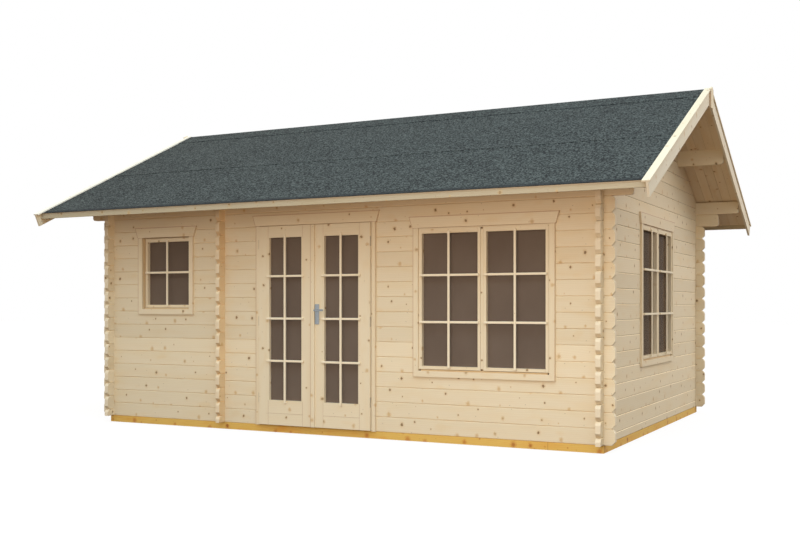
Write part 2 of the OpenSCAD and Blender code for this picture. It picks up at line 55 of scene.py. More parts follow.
# TINY tells a corner on a plane from one beside it, and an edge above LONG_EDGE runs along a board.
# FAR reaches beyond the cabin on every side.
TINY = 1e-5
LONG_EDGE = 0.5
FAR = 9.0
PITCH_DEG = 25.1
# The head board of a casing stands past the posts by HEAD_EAR, and its ends slant by HEAD_SLANT.
HEAD_EAR = 0.040
HEAD_SLANT = 0.032
HEAD_FOOT_LINE = 0.002
# Turns in degrees that lay a rod along an axis.
TURN_TO_X: Point = (0, 90, 0)
TURN_TO_Y: Point = (90, 0, 0)
WHITE: Colour = (1.0, 1.0, 1.0, 1.0)


def paint(red: int, green: int, blue: int) -> Colour:
    """Turn a colour as seen on a screen into the linear one that shaders take.

    Args:
        red: Red channel from 0 to 255.
        green: Green channel from 0 to 255.
        blue: Blue channel from 0 to 255.

    Returns:
        The linear colour with full alpha.
    """

    def linear(channel: int) -> float:
        """Undo the screen's transfer curve for one channel."""
        share = channel / 255
        return share / 12.92 if share <= 0.04045 else ((share + 0.055) / 1.055) ** 2.4

    return (linear(red), linear(green), linear(blue), 1.0)


class Run(Enum):
    """Direction in which the grain of a piece runs."""

    ALONG_X = "along the front wall"
    ALONG_Y = "along the gable walls"
    UPRIGHT = "up and down"
    DOWN_SLOPE = "down the roof's slope"


@dataclass(frozen=True)
class Limit:
    """A stretch of one axis, 0 for x, 1 for y and 2 for z, in metres. It leans as the height grows."""

    axis: int
    low: float
    high: float
    lean: float = 0.0


Zone = tuple[Limit, ...]


@dataclass(frozen=True)
class Row:
    """A row of equal logs or boards: the axis it climbs, where it starts, and the size of one."""

    axis: int
    start: float
    size: float


@dataclass(frozen=True)
class Grain:
    """How the wood of one node lies: its run, the zones that are turned, its row of pieces and its seams.

    Seams take the finish's joint colour: thin joints, painted shadow lines, a painted highlight along an edge, or a
    stretch painted nearly white.
    """

    run: Run
    turned: Run | None = None
    zones: tuple[Zone, ...] = ()
    row: Row | None = None
    seed: float = 0.0
    seams: tuple[Zone, ...] = ()


def operator(operation: str, swapped: bool = False) -> Callable[["Field", "Field | float"], "Field"]:
    """Make an operator that adds a Math node for a field and another value.

    Args:
        operation: The Math node's operation.
        swapped: Whether the other value comes first.

    Returns:
        The operator.
    """

    def apply(this: "Field", other: "Field | float") -> "Field":
        """Add the node for two values."""
        return this.math(operation, other, this) if swapped else this.math(operation, this, other)

    return apply


def function(operation: str) -> Callable[["Field"], "Field"]:
    """Make a method that adds a Math node for one field.

    Args:
        operation: The Math node's operation.

    Returns:
        The method.
    """

    def apply(this: "Field") -> "Field":
        """Add the node for one value."""
        return this.math(operation, this)

    return apply


class Field:
    """One number that changes over a surface. Its operators add Math nodes to the graph.

    A comparison gives 1 where it holds and 0 elsewhere. The part is what is above the whole number below.
    """

    __add__ = operator("ADD")
    __radd__ = operator("ADD", swapped=True)
    __sub__ = operator("SUBTRACT")
    __rsub__ = operator("SUBTRACT", swapped=True)
    __mul__ = operator("MULTIPLY")
    __rmul__ = operator("MULTIPLY", swapped=True)
    __truediv__ = operator("DIVIDE")
    __pow__ = operator("POWER")
    __gt__ = operator("GREATER_THAN")
    __lt__ = operator("LESS_THAN")
    __abs__ = function("ABSOLUTE")
    most = operator("MAXIMUM")
    floor = function("FLOOR")
    part = function("FRACT")
    sign = function("SIGN")
    sine = function("SINE")

    def __init__(self, graph: "Graph", socket: bpy.types.NodeSocket) -> None:
        """Wrap an output socket of a graph."""
        self.graph = graph
        self.socket = socket

    def math(self, operation: str, *values: "Field | float") -> "Field":
        """Add a Math node.

        Args:
            operation: The Math node's operation.
            values: Its inputs in order.

        Returns:
            The node's result.
        """
        return self.graph.field("ShaderNodeMath", {"operation": operation}, dict(enumerate(values)))

    def ramp(self, low: "Field | float", high: "Field | float") -> "Field":
        """Rise smoothly from 0 at low to 1 at high, or fall where low is above high.

        Args:
            low: Value that gives 0.
            high: Value that gives 1.

        Returns:
            The rising or falling share.
        """
        settings = {"interpolation_type": "SMOOTHSTEP"}
        inputs = {"Value": self, "From Min": low, "From Max": high}
        return self.graph.field("ShaderNodeMapRange", settings, inputs)


Value = Field | float
Spot = tuple[Field, Field, Field]


class Graph:
    """The node graph of one material or world, written as expressions on fields."""

    def __init__(self, owner: bpy.types.ID) -> None:
        """Start with an empty graph in a new material or world."""
        owner.use_nodes = True
        self.owner = owner
        self.tree = owner.node_tree
        self.tree.nodes.clear()

    def node(self, kind: str, settings: dict[str, object], inputs: dict[str | int, object]) -> bpy.types.Node:
        """Add any node: its settings are set first, then its sockets are linked or given a value.

        Args:
            kind: The node's type.
            settings: Attributes of the node.
            inputs: Fields, sockets or values by the socket's name or number.

        Returns:
            The node.
        """
        made = self.tree.nodes.new(kind)
        for key, value in settings.items():
            setattr(made, key, value)
        for key, value in inputs.items():
            socket = value.socket if isinstance(value, Field) else value
            if isinstance(socket, bpy.types.NodeSocket):
                self.tree.links.new(socket, made.inputs[key])
            else:
                made.inputs[key].default_value = socket
        return made

    def field(self, kind: str, settings: dict[str, object], inputs: dict[str | int, object], output: int = 0) -> Field:
        """Add a node and return one of its outputs as a field.

        Args:
            kind: The node's type.
            settings: Attributes of the node.
            inputs: Fields, sockets or values by the socket's name or number.
            output: Number of the output.

        Returns:
            The output.
        """
        return Field(self, self.node(kind, settings, inputs).outputs[output])

    def split(self, vector: bpy.types.NodeSocket) -> Spot:
        """Return the three parts of a vector."""
        made = self.node("ShaderNodeSeparateXYZ", {}, {"Vector": vector})
        return Field(self, made.outputs[0]), Field(self, made.outputs[1]), Field(self, made.outputs[2])

    def spot(self) -> Spot:
        """Return the place on the object in metres."""
        return self.split(self.node("ShaderNodeTexCoord", {}, {}).outputs["Object"])

    def facing(self) -> Spot:
        """Return the direction that the surface faces."""
        return self.split(self.node("ShaderNodeTexCoord", {}, {}).outputs["Normal"])

    def join(self, x: Value, y: Value, z: Value) -> bpy.types.NodeSocket:
        """Return a vector of three values."""
        return self.node("ShaderNodeCombineXYZ", {}, {0: x, 1: y, 2: z}).outputs[0]

    def noise(self, x: Value, y: Value, z: Value, detail: float = 2.0, rough: float = 0.5) -> Field:
        """Return smooth noise from 0 to 1.

        Args:
            x: First coordinate, where 1 is about the size of a patch.
            y: Second coordinate.
            z: Third coordinate.
            detail: Number of finer layers.
            rough: Share of the finer layers.

        Returns:
            The noise.
        """
        inputs = {"Vector": self.join(x, y, z), "Scale": 1.0, "Detail": detail, "Roughness": rough}
        return self.field("ShaderNodeTexNoise", {}, inputs)

    def random(self, number: Value) -> Field:
        """Return a random share for a whole number."""
        return self.field("ShaderNodeTexWhiteNoise", {"noise_dimensions": "1D"}, {"W": number})

    def cells(self, u: Value, v: Value, spread: float) -> bpy.types.Node:
        """Add a loose grid with one cell to each unit of a plane.

        Args:
            u: First coordinate.
            v: Second coordinate.
            spread: How far the cells stray from an even grid, from 0 to 1.

        Returns:
            The node, which gives each cell's centre, its random colour and the distance to its centre.
        """
        inputs = {"Vector": self.join(u, v, 0.0), "Scale": 1.0, "Randomness": spread}
        return self.node("ShaderNodeTexVoronoi", {"voronoi_dimensions": "2D", "feature": "F1"}, inputs)

    def mix(self, share: Value, first: object, second: object) -> bpy.types.NodeSocket:
        """Mix two colours.

        Args:
            share: Share of the second colour.
            first: A colour or a colour socket.
            second: A colour or a colour socket.

        Returns:
            The mixed colour.
        """
        settings = {"data_type": "RGBA", "clamp_factor": True}
        return self.node("ShaderNodeMix", settings, {0: share, 6: first, 7: second}).outputs[2]

    def scale(self, colour: bpy.types.NodeSocket, factor: Value) -> bpy.types.NodeSocket:
        """Make a colour lighter or darker by a factor."""
        made = self.node("ShaderNodeVectorMath", {"operation": "SCALE"}, {"Vector": colour, "Scale": factor})
        return made.outputs[0]

    def inside(self, spot: Spot, zones: tuple[Zone, ...]) -> Field | None:
        """Return 1 inside any of the zones and 0 outside, or None where there are none.

        Args:
            spot: The place on the object.
            zones: The zones.

        Returns:
            The mask.
        """
        found = None
        for zone in zones:
            mask = None
            for limit in zone:
                at = spot[limit.axis]
                if limit.lean:
                    at = at + spot[2] * limit.lean
                within = (at > limit.low) * (at < limit.high)
                mask = within if mask is None else mask * within
            found = mask if found is None else found.most(mask)
        return found

    def finish(
        self, constants: dict[str, object], fields: dict[str, object], bump: Field, relief: float
    ) -> bpy.types.Material:
        """End the graph in a Principled shader.

        Args:
            constants: Sockets that are the same all over the surface.
            fields: Sockets that change over it.
            bump: Height of the surface from 0 to 1.
            relief: Depth of that height in metres.

        Returns:
            The material.
        """
        normal = self.node("ShaderNodeBump", {}, {"Height": bump, "Distance": relief, "Strength": 1.0})
        inputs = {**constants, **fields, "Normal": normal.outputs[0]}
        shader = self.node("ShaderNodeBsdfPrincipled", {}, inputs)
        self.node("ShaderNodeOutputMaterial", {}, {"Surface": shader.outputs[0]})
        return self.owner


@dataclass(frozen=True)
class WoodFinish:
    """Planed softwood with growth rings, knots and thin joints between its pieces.

    Knots are strewn on cells of knot_gap by knot_row. Rates count rings to a metre. Bevels along a piece take painted
    light and shade: under_bevel_painted_light for those that face down, top_bevel_painted_light for those that face
    up.
    """

    pale: Colour
    ring: Colour
    warm: Colour
    knot: Colour
    halo: Colour
    joint: Colour
    end: Colour
    knot_gap: float = 0.19
    knot_row: float = 0.137
    knot_size: float = 0.0155
    joint_half: float = 0.0009
    joint_share: float = 0.4
    under_bevel_painted_light: float = 0.0
    top_bevel_painted_light: float = 0.0
    knot_rarity: float = 0.22
    speck_rarity: float = 0.72
    lot_shift: float = 11.0
    tone_seed: float = 37.5
    slope_shift: float = 5.3
    ring_rate: float = 62.0
    ring_rate_through: float = 25.0
    end_ring_rate: float = 330.0
    pith: tuple[float, float] = (0.03, 0.02)
    end_cosine: float = 0.8
    slope_end_cosine: float = 0.95
    relief: float = 0.0007

    def axes(self, run: Run, spot: Spot) -> Spot:
        """Return the place along the grain, across it on the face, and through the piece.

        Args:
            run: Direction of the grain.
            spot: The place on the object.

        Returns:
            The three places in metres.
        """
        x, y, z = spot
        if run is Run.ALONG_X:
            return x, z, y
        if run is Run.ALONG_Y:
            return y, z, x
        if run is Run.UPRIGHT:
            return z, x + y, x - y
        tilt = math.radians(PITCH_DEG)
        reach = abs(y)
        height = reach * math.sin(tilt) + z * math.cos(tilt)
        down = reach * math.cos(tilt) - z * math.sin(tilt) + y.sign() * self.slope_shift
        return down, x + height, x - height

    def end_face(self, run: Run, facing: Spot) -> Field:
        """Return 1 on the sawn ends of a piece."""
        axis = {Run.ALONG_X: 0, Run.ALONG_Y: 1, Run.UPRIGHT: 2, Run.DOWN_SLOPE: 1}[run]
        return abs(facing[axis]) > (self.slope_end_cosine if run is Run.DOWN_SLOPE else self.end_cosine)

    def material(self, name: str, grain: Grain) -> bpy.types.Material:
        """Make the material of one node.

        Args:
            name: Name of the material.
            grain: How the node's wood lies.

        Returns:
            The material.
        """
        graph = Graph(bpy.data.materials.new(name))
        spot = graph.spot()
        along, across, depth = self.axes(grain.run, spot)
        facing = graph.facing()
        end = self.end_face(grain.run, facing)
        mask = graph.inside(spot, grain.zones)
        if mask is not None and grain.turned is not None:
            other = self.axes(grain.turned, spot)
            along = along + (other[0] - along) * mask
            across = across + (other[1] - across) * mask
            depth = depth + (other[2] - depth) * mask
            end = end + (self.end_face(grain.turned, facing) - end) * mask
        lot: Value = 0.5
        tone: Value = 0.5
        joint: Value = 0.0
        if grain.row is not None:
            step = (spot[grain.row.axis] - grain.row.start) / grain.row.size
            lot = graph.random(step.floor() + grain.seed)
            tone = graph.random(step.floor() + (grain.seed + self.tone_seed))
            edge = (0.5 - abs(step.part() - 0.5)) * grain.row.size
            joint = edge.ramp(self.joint_half * 1.6, self.joint_half * 0.6)
        run = along + (lot * self.lot_shift + grain.seed)

        # Knots: one at most in each cell of a loose grid that follows the pieces.
        start = grain.row.start if grain.row is not None and grain.row.axis == 2 else 0.0
        cell_u = run / self.knot_gap
        cell_v = (across - start) / self.knot_row
        cells = graph.cells(cell_u, cell_v, 0.85)
        centre = graph.split(cells.outputs["Position"])
        pick = graph.split(cells.outputs["Color"])
        off_u = (centre[0] - cell_u) * self.knot_gap
        off_v = (centre[1] - cell_v) * (self.knot_row * 0.85)
        ragged = graph.noise(run * 70.0, across * 70.0, depth * 20.0, 2.0)
        away = (off_u * off_u + off_v * off_v) ** 0.5 * (0.35 + ragged * 1.3)
        size = (pick[0] - self.knot_rarity).most(0.0) ** 0.7 * self.knot_size
        dark = pick[1].ramp(0.3, 0.5)
        knot = away.ramp(size * 1.1 + 0.0006, size * 0.5)
        halo = away.ramp(size * 2.2 + 0.003, size * 0.5)
        heart = away.ramp(size * 0.5, size * 0.1)
        dots = graph.cells(run * 6.1 + 9.0, across * 9.7, 1.0)
        near = Field(graph, dots.outputs["Distance"])
        speck = near.ramp(0.034, 0.012) * (graph.split(dots.outputs["Color"])[0] > self.speck_rarity)

        # Growth rings bend round the knots. Fibres and soft patches lie over them.
        sway = graph.noise(run * 0.7, across * 4.0, depth * 4.0, 2.0)
        layers = across * self.ring_rate + depth * self.ring_rate_through
        rings = (layers + sway * 7.0 + halo * 1.4).part() ** 2.5
        fibre = graph.noise(run * 3.0, across * 150.0, depth * 150.0, 3.0, 0.6)
        patch = graph.noise(run * 1.6, across * 9.0, depth * 9.0, 2.0)
        swirl = graph.noise(run * 5.0 + 40.0, across * 11.0, depth * 3.0, 1.0)

        colour = graph.mix(rings * 0.3 + fibre * 0.25 - 0.05, self.pale, self.ring)
        colour = graph.mix(patch.ramp(0.42, 0.8) * 0.6 + swirl.ramp(0.6, 0.8) * 0.5, colour, self.warm)
        colour = graph.mix(halo * (0.62 - dark * 0.17), colour, self.halo)
        colour = graph.mix((knot * (0.08 + dark * 0.75)).most(speck * 0.6), colour, self.knot)
        colour = graph.mix(heart * pick[2] * dark * 0.4, colour, self.halo)
        colour = graph.scale(colour, 0.94 + 0.12 * tone + 0.08 * (fibre - 0.5))

        # Sawn ends show rings about the pith. Seams, painted light and shade on bevels, and joints come last. Seams
        # draw joints, painted shadow lines, a painted highlight and a stretch painted nearly white.
        pith_u = across + self.pith[0]
        pith_v = depth + self.pith[1]
        bow = (pith_u * pith_u + pith_v * pith_v) ** 0.5
        year = ((bow * self.end_ring_rate + sway * 3.0) * (2 * math.pi)).sine()
        colour = graph.mix(end * (0.6 + year * 0.12), colour, self.end)
        seam = graph.inside(spot, grain.seams)
        if seam is not None:
            joint = seam.most(joint)
        # Painted light and shade: bevels along a piece that face down or up are made lighter or darker, and the joint
        # line is taken off the painted top bevels.
        if self.under_bevel_painted_light or self.top_bevel_painted_light:
            lengthwise = abs(facing[0 if grain.run is Run.ALONG_X else 1]).ramp(0.4, 0.15)
            under = facing[2].ramp(-0.25, -0.5) * facing[2].ramp(-0.95, -0.85)
            top = facing[2].ramp(0.25, 0.5) * facing[2].ramp(0.95, 0.85)
            lift = under * self.under_bevel_painted_light + top * self.top_bevel_painted_light
            colour = graph.scale(colour, 1.0 + lift * lengthwise)
            if self.top_bevel_painted_light:
                joint = joint * (1.0 - top * lengthwise)
        colour = graph.mix(joint * self.joint_share, colour, self.joint)

        height = fibre * 0.5 + rings * 0.3 + knot * 0.5 - joint
        rough = 0.62 + fibre * 0.14 - knot * 0.12
        return graph.finish(
            {"Specular IOR Level": 0.3},
            {"Base Color": colour, "Roughness": rough},
            height,
            self.relief,
        )


@dataclass(frozen=True)
class FeltFinish:
    """Roofing felt strewn with mineral granules, with painted shade at the edges where one strip ends on the next."""

    name: str = "roof_felt_granules"
    dark: Colour = paint(17, 21, 21)
    light: Colour = paint(85, 91, 87)
    # edge is the colour of the painted shade and of the darker band along the eave.
    edge: Colour = paint(26, 30, 32)
    granules: float = 85.0
    clumps: float = 60.0
    patches: float = 2.2
    lap: float = 0.24
    lap_shade: float = 0.013
    eave: float = 2.3
    rim: float = -3.1066
    rim_shade: float = 0.03
    eave_band: float = 2.36
    eave_band_half: float = 0.015
    relief: float = 0.0012

    def material(self) -> bpy.types.Material:
        """Make the felt's material."""
        graph = Graph(bpy.data.materials.new(self.name))
        x, y, z = graph.spot()
        reach = abs(y)
        vector = graph.join(x, y, z)
        grains = graph.node("ShaderNodeTexVoronoi", {"feature": "F1"}, {"Vector": vector, "Scale": self.granules})
        tone = graph.split(grains.outputs["Color"])[0]
        coarse = graph.noise(x * self.clumps, y * self.clumps, z * self.clumps, 1.0, 0.6)
        broad = graph.noise(x * self.patches, y * self.patches, z * self.patches, 2.0)
        shade = tone ** 3.0 * 1.7 + (coarse - 0.5) * 1.8 + broad * 0.3 - 0.1
        colour = graph.mix(shade, self.dark, self.light)

        # Painted shade: a shadow line below the lap of the ridge strip, shade on the felt's edges that face down,
        # strongest at the eaves, and a shadow line along the left border at the foot of the cap strip. A band along
        # the eave is darker too.
        lap = reach.ramp(self.lap - 0.001, self.lap) * reach.ramp(self.lap + self.lap_shade, self.lap + 0.004)
        lap_shade_waver = graph.noise(x * 9.0, y * 2.0, z * 2.0, 2.0).ramp(0.3, 0.75)
        side = (graph.facing()[2] < 0.5) * (0.1 + (reach > self.eave) * 0.75)
        colour = graph.mix((lap * lap_shade_waver * 0.45).most(side), colour, self.edge)
        border_shade = x.ramp(self.rim + self.rim_shade, self.rim + self.rim_shade / 2) * 0.85
        eave_band = reach.ramp(self.eave_band - self.eave_band_half, self.eave_band + self.eave_band_half) * 0.65
        colour = graph.mix(border_shade.most(eave_band), colour, self.edge)
        return graph.finish(
            {"Specular IOR Level": 0.25},
            {"Base Color": colour, "Roughness": 0.82 + tone * 0.12},
            tone * 0.6 + coarse * 0.8,
            self.relief,
        )


@dataclass(frozen=True)
class GlassFinish:
    """Pane painted brown and partly opaque: painted shade of the dark inside of the cabin seen through it, mottled
    with a lighter brown.
    """

    name: str = "window_pane"
    inside_shade: Colour = paint(115, 100, 89)
    mottle: Colour = paint(131, 116, 103)
    cover: float = 0.68
    relief: float = 0.0004

    def material(self) -> bpy.types.Material:
        """Make the glass's material."""
        graph = Graph(bpy.data.materials.new(self.name))
        x, y, z = graph.spot()
        mottling = graph.noise(x * 3.0, y * 3.0, z * 2.0, 3.0)
        colour = graph.mix(mottling, self.inside_shade, self.mottle)
        wave = graph.noise(x * 1.2, y * 1.2, z * 1.2, 1.0)
        return graph.finish(
            {"IOR": 1.5, "Specular IOR Level": 0.003},
            {"Base Color": colour, "Roughness": 0.04 + mottling * 0.05, "Alpha": self.cover + mottling * 0.1},
            wave,
            self.relief,
        )


@dataclass(frozen=True)
class MetalFinish:
    """Satin metal with fine marks of its brushing."""

    name: str
    colour: Colour
    worn: Colour
    rough: float
    metallic: float
    relief: float = 0.00006

    def material(self) -> bpy.types.Material:
        """Make the metal's material."""
        graph = Graph(bpy.data.materials.new(self.name))
        x, y, z = graph.spot()
        brushed = graph.noise(x * 900.0, y * 900.0, z * 60.0, 2.0)
        dull = graph.noise(x * 45.0, y * 45.0, z * 45.0, 2.0)
        colour = graph.mix(dull * 0.6 + brushed * 0.3, self.colour, self.worn)
        return graph.finish(
            {"Metallic": self.metallic},
            {"Base Color": colour, "Roughness": self.rough + brushed * 0.12},
            brushed,
            self.relief,
        )


# LOGS paints the bevels that face down lighter: painted light.
LOGS = WoodFinish(
    pale=paint(232, 217, 187),
    ring=paint(220, 200, 163),
    warm=paint(228, 206, 166),
    knot=paint(98, 68, 38),
    halo=paint(208, 168, 106),
    joint=paint(190, 138, 94),
    end=paint(234, 219, 192),
    under_bevel_painted_light=0.24,
)
# GABLES dresses the right gable wall. Its stronger, darker joints are partly painted shade, and its bevels are painted
# darker underneath as painted shade and lighter on top as painted highlight.
GABLES = replace(
    LOGS,
    knot=paint(122, 92, 58),
    joint=paint(112, 84, 54),
    knot_gap=0.26,
    joint_share=0.75,
    under_bevel_painted_light=-0.2,
    top_bevel_painted_light=0.3,
)
# PARTITION is warmer and darker than LOGS: painted shade and warm bounce light on the partition's log ends.
PARTITION = replace(
    LOGS,
    pale=paint(232, 206, 164),
    ring=paint(221, 188, 140),
    warm=paint(227, 194, 146),
    joint_share=0.15,
)
# JOINERY's joint colour draws real joints and, on casings and the door's cover strip, painted shadow lines.
JOINERY = WoodFinish(
    pale=paint(233, 218, 188),
    ring=paint(221, 201, 164),
    warm=paint(229, 208, 170),
    knot=paint(120, 90, 54),
    halo=paint(208, 170, 112),
    joint=paint(176, 122, 80),
    end=paint(228, 212, 182),
    knot_gap=0.3,
    knot_row=0.1,
    joint_share=0.62,
)
BARS = replace(
    JOINERY,
    pale=paint(242, 230, 204),
    ring=paint(234, 216, 182),
    warm=paint(238, 220, 186),
    knot_size=0.002,
)
# FRAMES is a darker, redder copy of the joinery: painted shade for frames that show only in shaded slits.
FRAMES = replace(
    JOINERY,
    pale=paint(216, 190, 150),
    ring=paint(200, 168, 124),
    warm=paint(206, 176, 134),
)
# FASCIA is a shade darker than the other joinery as painted shade, and its light joint colour is a painted highlight
# along its top edge.
FASCIA = replace(
    JOINERY,
    pale=paint(189, 175, 147),
    ring=paint(178, 161, 128),
    warm=paint(184, 167, 132),
    joint=paint(238, 224, 196),
    joint_share=0.55,
)
# BARGE is a greyer copy of the joinery for the right bargeboards: painted cooler light of the right gable.
BARGE = replace(
    JOINERY,
    pale=paint(231, 221, 198),
    ring=paint(220, 205, 175),
    warm=paint(227, 212, 181),
)
# CAPS' near-white joint colour paints the cap strips on the left gable nearly white.
CAPS = replace(
    JOINERY,
    pale=paint(230, 217, 190),
    ring=paint(220, 202, 168),
    warm=paint(226, 206, 170),
    joint=paint(255, 253, 247),
    joint_share=0.45,
)
# APEX gives the apex covers' faces toward the slopes a brown end colour: painted shade.
APEX = replace(JOINERY, end=paint(176, 130, 90))
BOARDS = WoodFinish(
    pale=paint(230, 212, 182),
    ring=paint(212, 184, 144),
    warm=paint(218, 190, 148),
    knot=paint(128, 94, 58),
    halo=paint(186, 138, 82),
    joint=paint(150, 106, 64),
    end=paint(214, 180, 134),
    knot_gap=0.36,
    knot_row=0.095,
    knot_size=0.0135,
    joint_share=0.28,
)
OCHRE = WoodFinish(
    pale=paint(226, 188, 100),
    ring=paint(212, 154, 62),
    warm=paint(220, 158, 68),
    knot=paint(136, 68, 22),
    halo=paint(190, 108, 40),
    joint=paint(120, 70, 24),
    end=paint(196, 138, 58),
    knot_gap=0.2,
    knot_row=0.08,
    knot_size=0.022,
)
FELT = FeltFinish()
PANE = GlassFinish()
# GABLE_PANE is a darker copy of the pane's painted inside shade, for the gable window.
GABLE_PANE = GlassFinish("gable_window_pane", paint(105, 87, 68), paint(119, 100, 80))
HANDLE_METAL = MetalFinish("handle_metal", paint(164, 172, 178), paint(140, 148, 154), 0.4, 0.5)
ZINC = MetalFinish("zinc_hinge", paint(206, 194, 170), paint(184, 170, 144), 0.5, 0.3)


class Bench:
    """Modelling by operators, one piece at a time."""

    @staticmethod
    def only(*pieces: bpy.types.Object) -> None:
        """Select these pieces alone and make the first one active."""
        bpy.ops.object.select_all(action="DESELECT")
        for piece in pieces:
            piece.select_set(True)
        bpy.context.view_layer.objects.active = pieces[0]

    @staticmethod
    def settle(name: str) -> bpy.types.Object:
        """Move the active piece's place, turn and scale into its mesh and name it.

        Args:
            name: Name of the piece.

        Returns:
            The piece.
        """
        bpy.ops.object.transform_apply(location=True, rotation=True, scale=True)
        piece = bpy.context.object
        piece.name = name
        return piece

    @classmethod
    def block(cls, name: str, low: Point, high: Point) -> bpy.types.Object:
        """Add a block between two corners, as the start of a piece.

        Args:
            name: Name of the piece.
            low: Its lowest corner.
            high: Its highest corner.

        Returns:
            The piece.
        """
        bpy.ops.object.select_all(action="DESELECT")
        middle = [(a + b) / 2 for a, b in zip(low, high)]
        size = [b - a for a, b in zip(low, high)]
        bpy.ops.mesh.primitive_cube_add(size=1.0, location=middle, scale=size)
        return cls.settle(name)

    @classmethod
    def rod(
        cls, name: str, middle: Point, length: float, radius: float, turn: Point, sides: int = 32
    ) -> bpy.types.Object:
        """Add a round rod, as the start of a piece.

        Args:
            name: Name of the piece.
            middle: Middle of the rod.
            length: Its length.
            radius: Its radius.
            turn: Turn of its axis from +Z, in degrees.
            sides: Number of its sides.

        Returns:
            The piece.
        """
        bpy.ops.object.select_all(action="DESELECT")
        angles = [math.radians(a) for a in turn]
        bpy.ops.mesh.primitive_cylinder_add(
            vertices=sides, radius=radius, depth=length, location=middle, rotation=angles
        )
        return cls.settle(name)

    @classmethod
    def edit(cls, piece: bpy.types.Object, kind: str) -> bmesh.types.BMesh:
        """Open a piece in edit mode with nothing selected.

        Args:
            piece: The piece.
            kind: What is to be selected, VERT or EDGE.

        Returns:
            The piece's mesh in edit mode.
        """
        cls.only(piece)
        bpy.ops.object.mode_set(mode="EDIT")
        bpy.ops.mesh.select_mode(type=kind)
        bpy.ops.mesh.select_all(action="DESELECT")
        return bmesh.from_edit_mesh(piece.data)

    @classmethod
    def bevel(cls, piece: bpy.types.Object, width: float, steps: int, test: Callable[[Vector, Vector], bool]) -> None:
        """Bevel the edges whose two ends pass a test.

        Args:
            piece: The piece.
            width: Width of the bevel.
            steps: Number of faces across it.
            test: Takes the two ends of an edge.
        """
        mesh = cls.edit(piece, "EDGE")
        for edge in mesh.edges:
            edge.select_set(test(edge.verts[0].co, edge.verts[1].co))
        bmesh.update_edit_mesh(piece.data)
        bpy.ops.mesh.bevel(offset=width, segments=steps, affect="EDGES")
        bpy.ops.object.mode_set(mode="OBJECT")

    @classmethod
    def shift(cls, piece: bpy.types.Object, step: Point, test: Callable[[Vector], bool]) -> None:
        """Move the corners that pass a test.

        Args:
            piece: The piece.
            step: How far they move.
            test: Takes a corner.
        """
        mesh = cls.edit(piece, "VERT")
        for corner in mesh.verts:
            corner.select_set(test(corner.co))
        bmesh.update_edit_mesh(piece.data)
        bpy.ops.transform.translate(value=step)
        bpy.ops.object.mode_set(mode="OBJECT")

    @classmethod
    def row(cls, piece: bpy.types.Object, count: int, step: Point) -> None:
        """Repeat a piece in a row within its own mesh.

        Args:
            piece: The piece.
            count: Number of repeats, the first one included.
            step: From one to the next.
        """
        cls.only(piece)
        bpy.ops.object.modifier_add(type="ARRAY")
        modifier = piece.modifiers[-1]
        modifier.use_relative_offset = False
        modifier.use_constant_offset = True
        modifier.constant_offset_displace = step
        modifier.count = count
        bpy.ops.object.modifier_apply(modifier=modifier.name)

    @classmethod
    def copy(cls, piece: bpy.types.Object, name: str, step: Point, turn_deg: float = 0.0) -> bpy.types.Object:
        """Copy a piece with its own mesh, turn it about the Z axis of the frame and move it.

        Args:
            piece: The piece.
            name: Name of the copy.
            step: How far it moves after the turn.
            turn_deg: Turn in degrees.

        Returns:
            The copy.
        """
        cls.only(piece)
        bpy.ops.object.duplicate(linked=False)
        made = bpy.context.object
        made.rotation_euler[2] = math.radians(turn_deg)
        made.location = step
        return cls.settle(name)

    @classmethod
    def join(cls, name: str, pieces: list[bpy.types.Object]) -> bpy.types.Object:
        """Join pieces into one.

        Args:
            name: Name of the joined piece.
            pieces: The pieces.

        Returns:
            The joined piece.
        """
        cls.only(*pieces)
        bpy.ops.object.join()
        made = bpy.context.object
        made.name = name
        made.data.name = name
        return made

    @classmethod
    def smooth(cls, piece: bpy.types.Object, angle_deg: float = 40.0) -> None:
        """Shade a piece smoothly across its soft edges."""
        cls.only(piece)
        bpy.ops.object.shade_smooth_by_angle(angle=math.radians(angle_deg))


def level_run(axis: int) -> Run:
    """Return the run of level wood on a wall along an axis."""
    return Run.ALONG_X if axis == 0 else Run.ALONG_Y


def casing_joint_and_shadow_lines(
    box: tuple[Vector, Vector], axis: int, head: float, line: float = 0.005, inset: float = 0.0004
) -> tuple[Zone, ...]:
    """Return painted shadow lines along the outer edges of casing boards, whose head has slanting ends, and the thin
    joint under the head board.

    Args:
        box: The casing's box.
        axis: Axis along the wall.
        head: Height of the head board.
        line: Width of the lines.
        inset: From a board's edge to its line.

    Returns:
        The lines.
    """
    low, high = box
    foot = high[2] - head
    lean = HEAD_SLANT / head
    reach = HEAD_SLANT + lean * foot
    left, right = low[axis] + reach, high[axis] - reach
    post_left, post_right = low[axis] + HEAD_EAR, high[axis] - HEAD_EAR
    upper = Limit(2, foot, high[2])
    lower = Limit(2, low[2], foot)
    return (
        (Limit(2, foot - HEAD_FOOT_LINE, foot + HEAD_FOOT_LINE),),
        (Limit(2, high[2] - line, high[2] + FAR),),
        (upper, Limit(axis, left + inset, left + line, lean)),
        (upper, Limit(axis, right - line, right - inset, -lean)),
        (lower, Limit(axis, post_left + inset, post_left + line)),
        (lower, Limit(axis, post_right - line, post_right - inset)),
    )


def dress(name: str, material: bpy.types.Material) -> None:
    """Give a CAD node its material and report it."""
    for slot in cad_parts[name].material_slots:
        slot.material = material
    LOG.info("dressed node %s with %s", name, material.name)


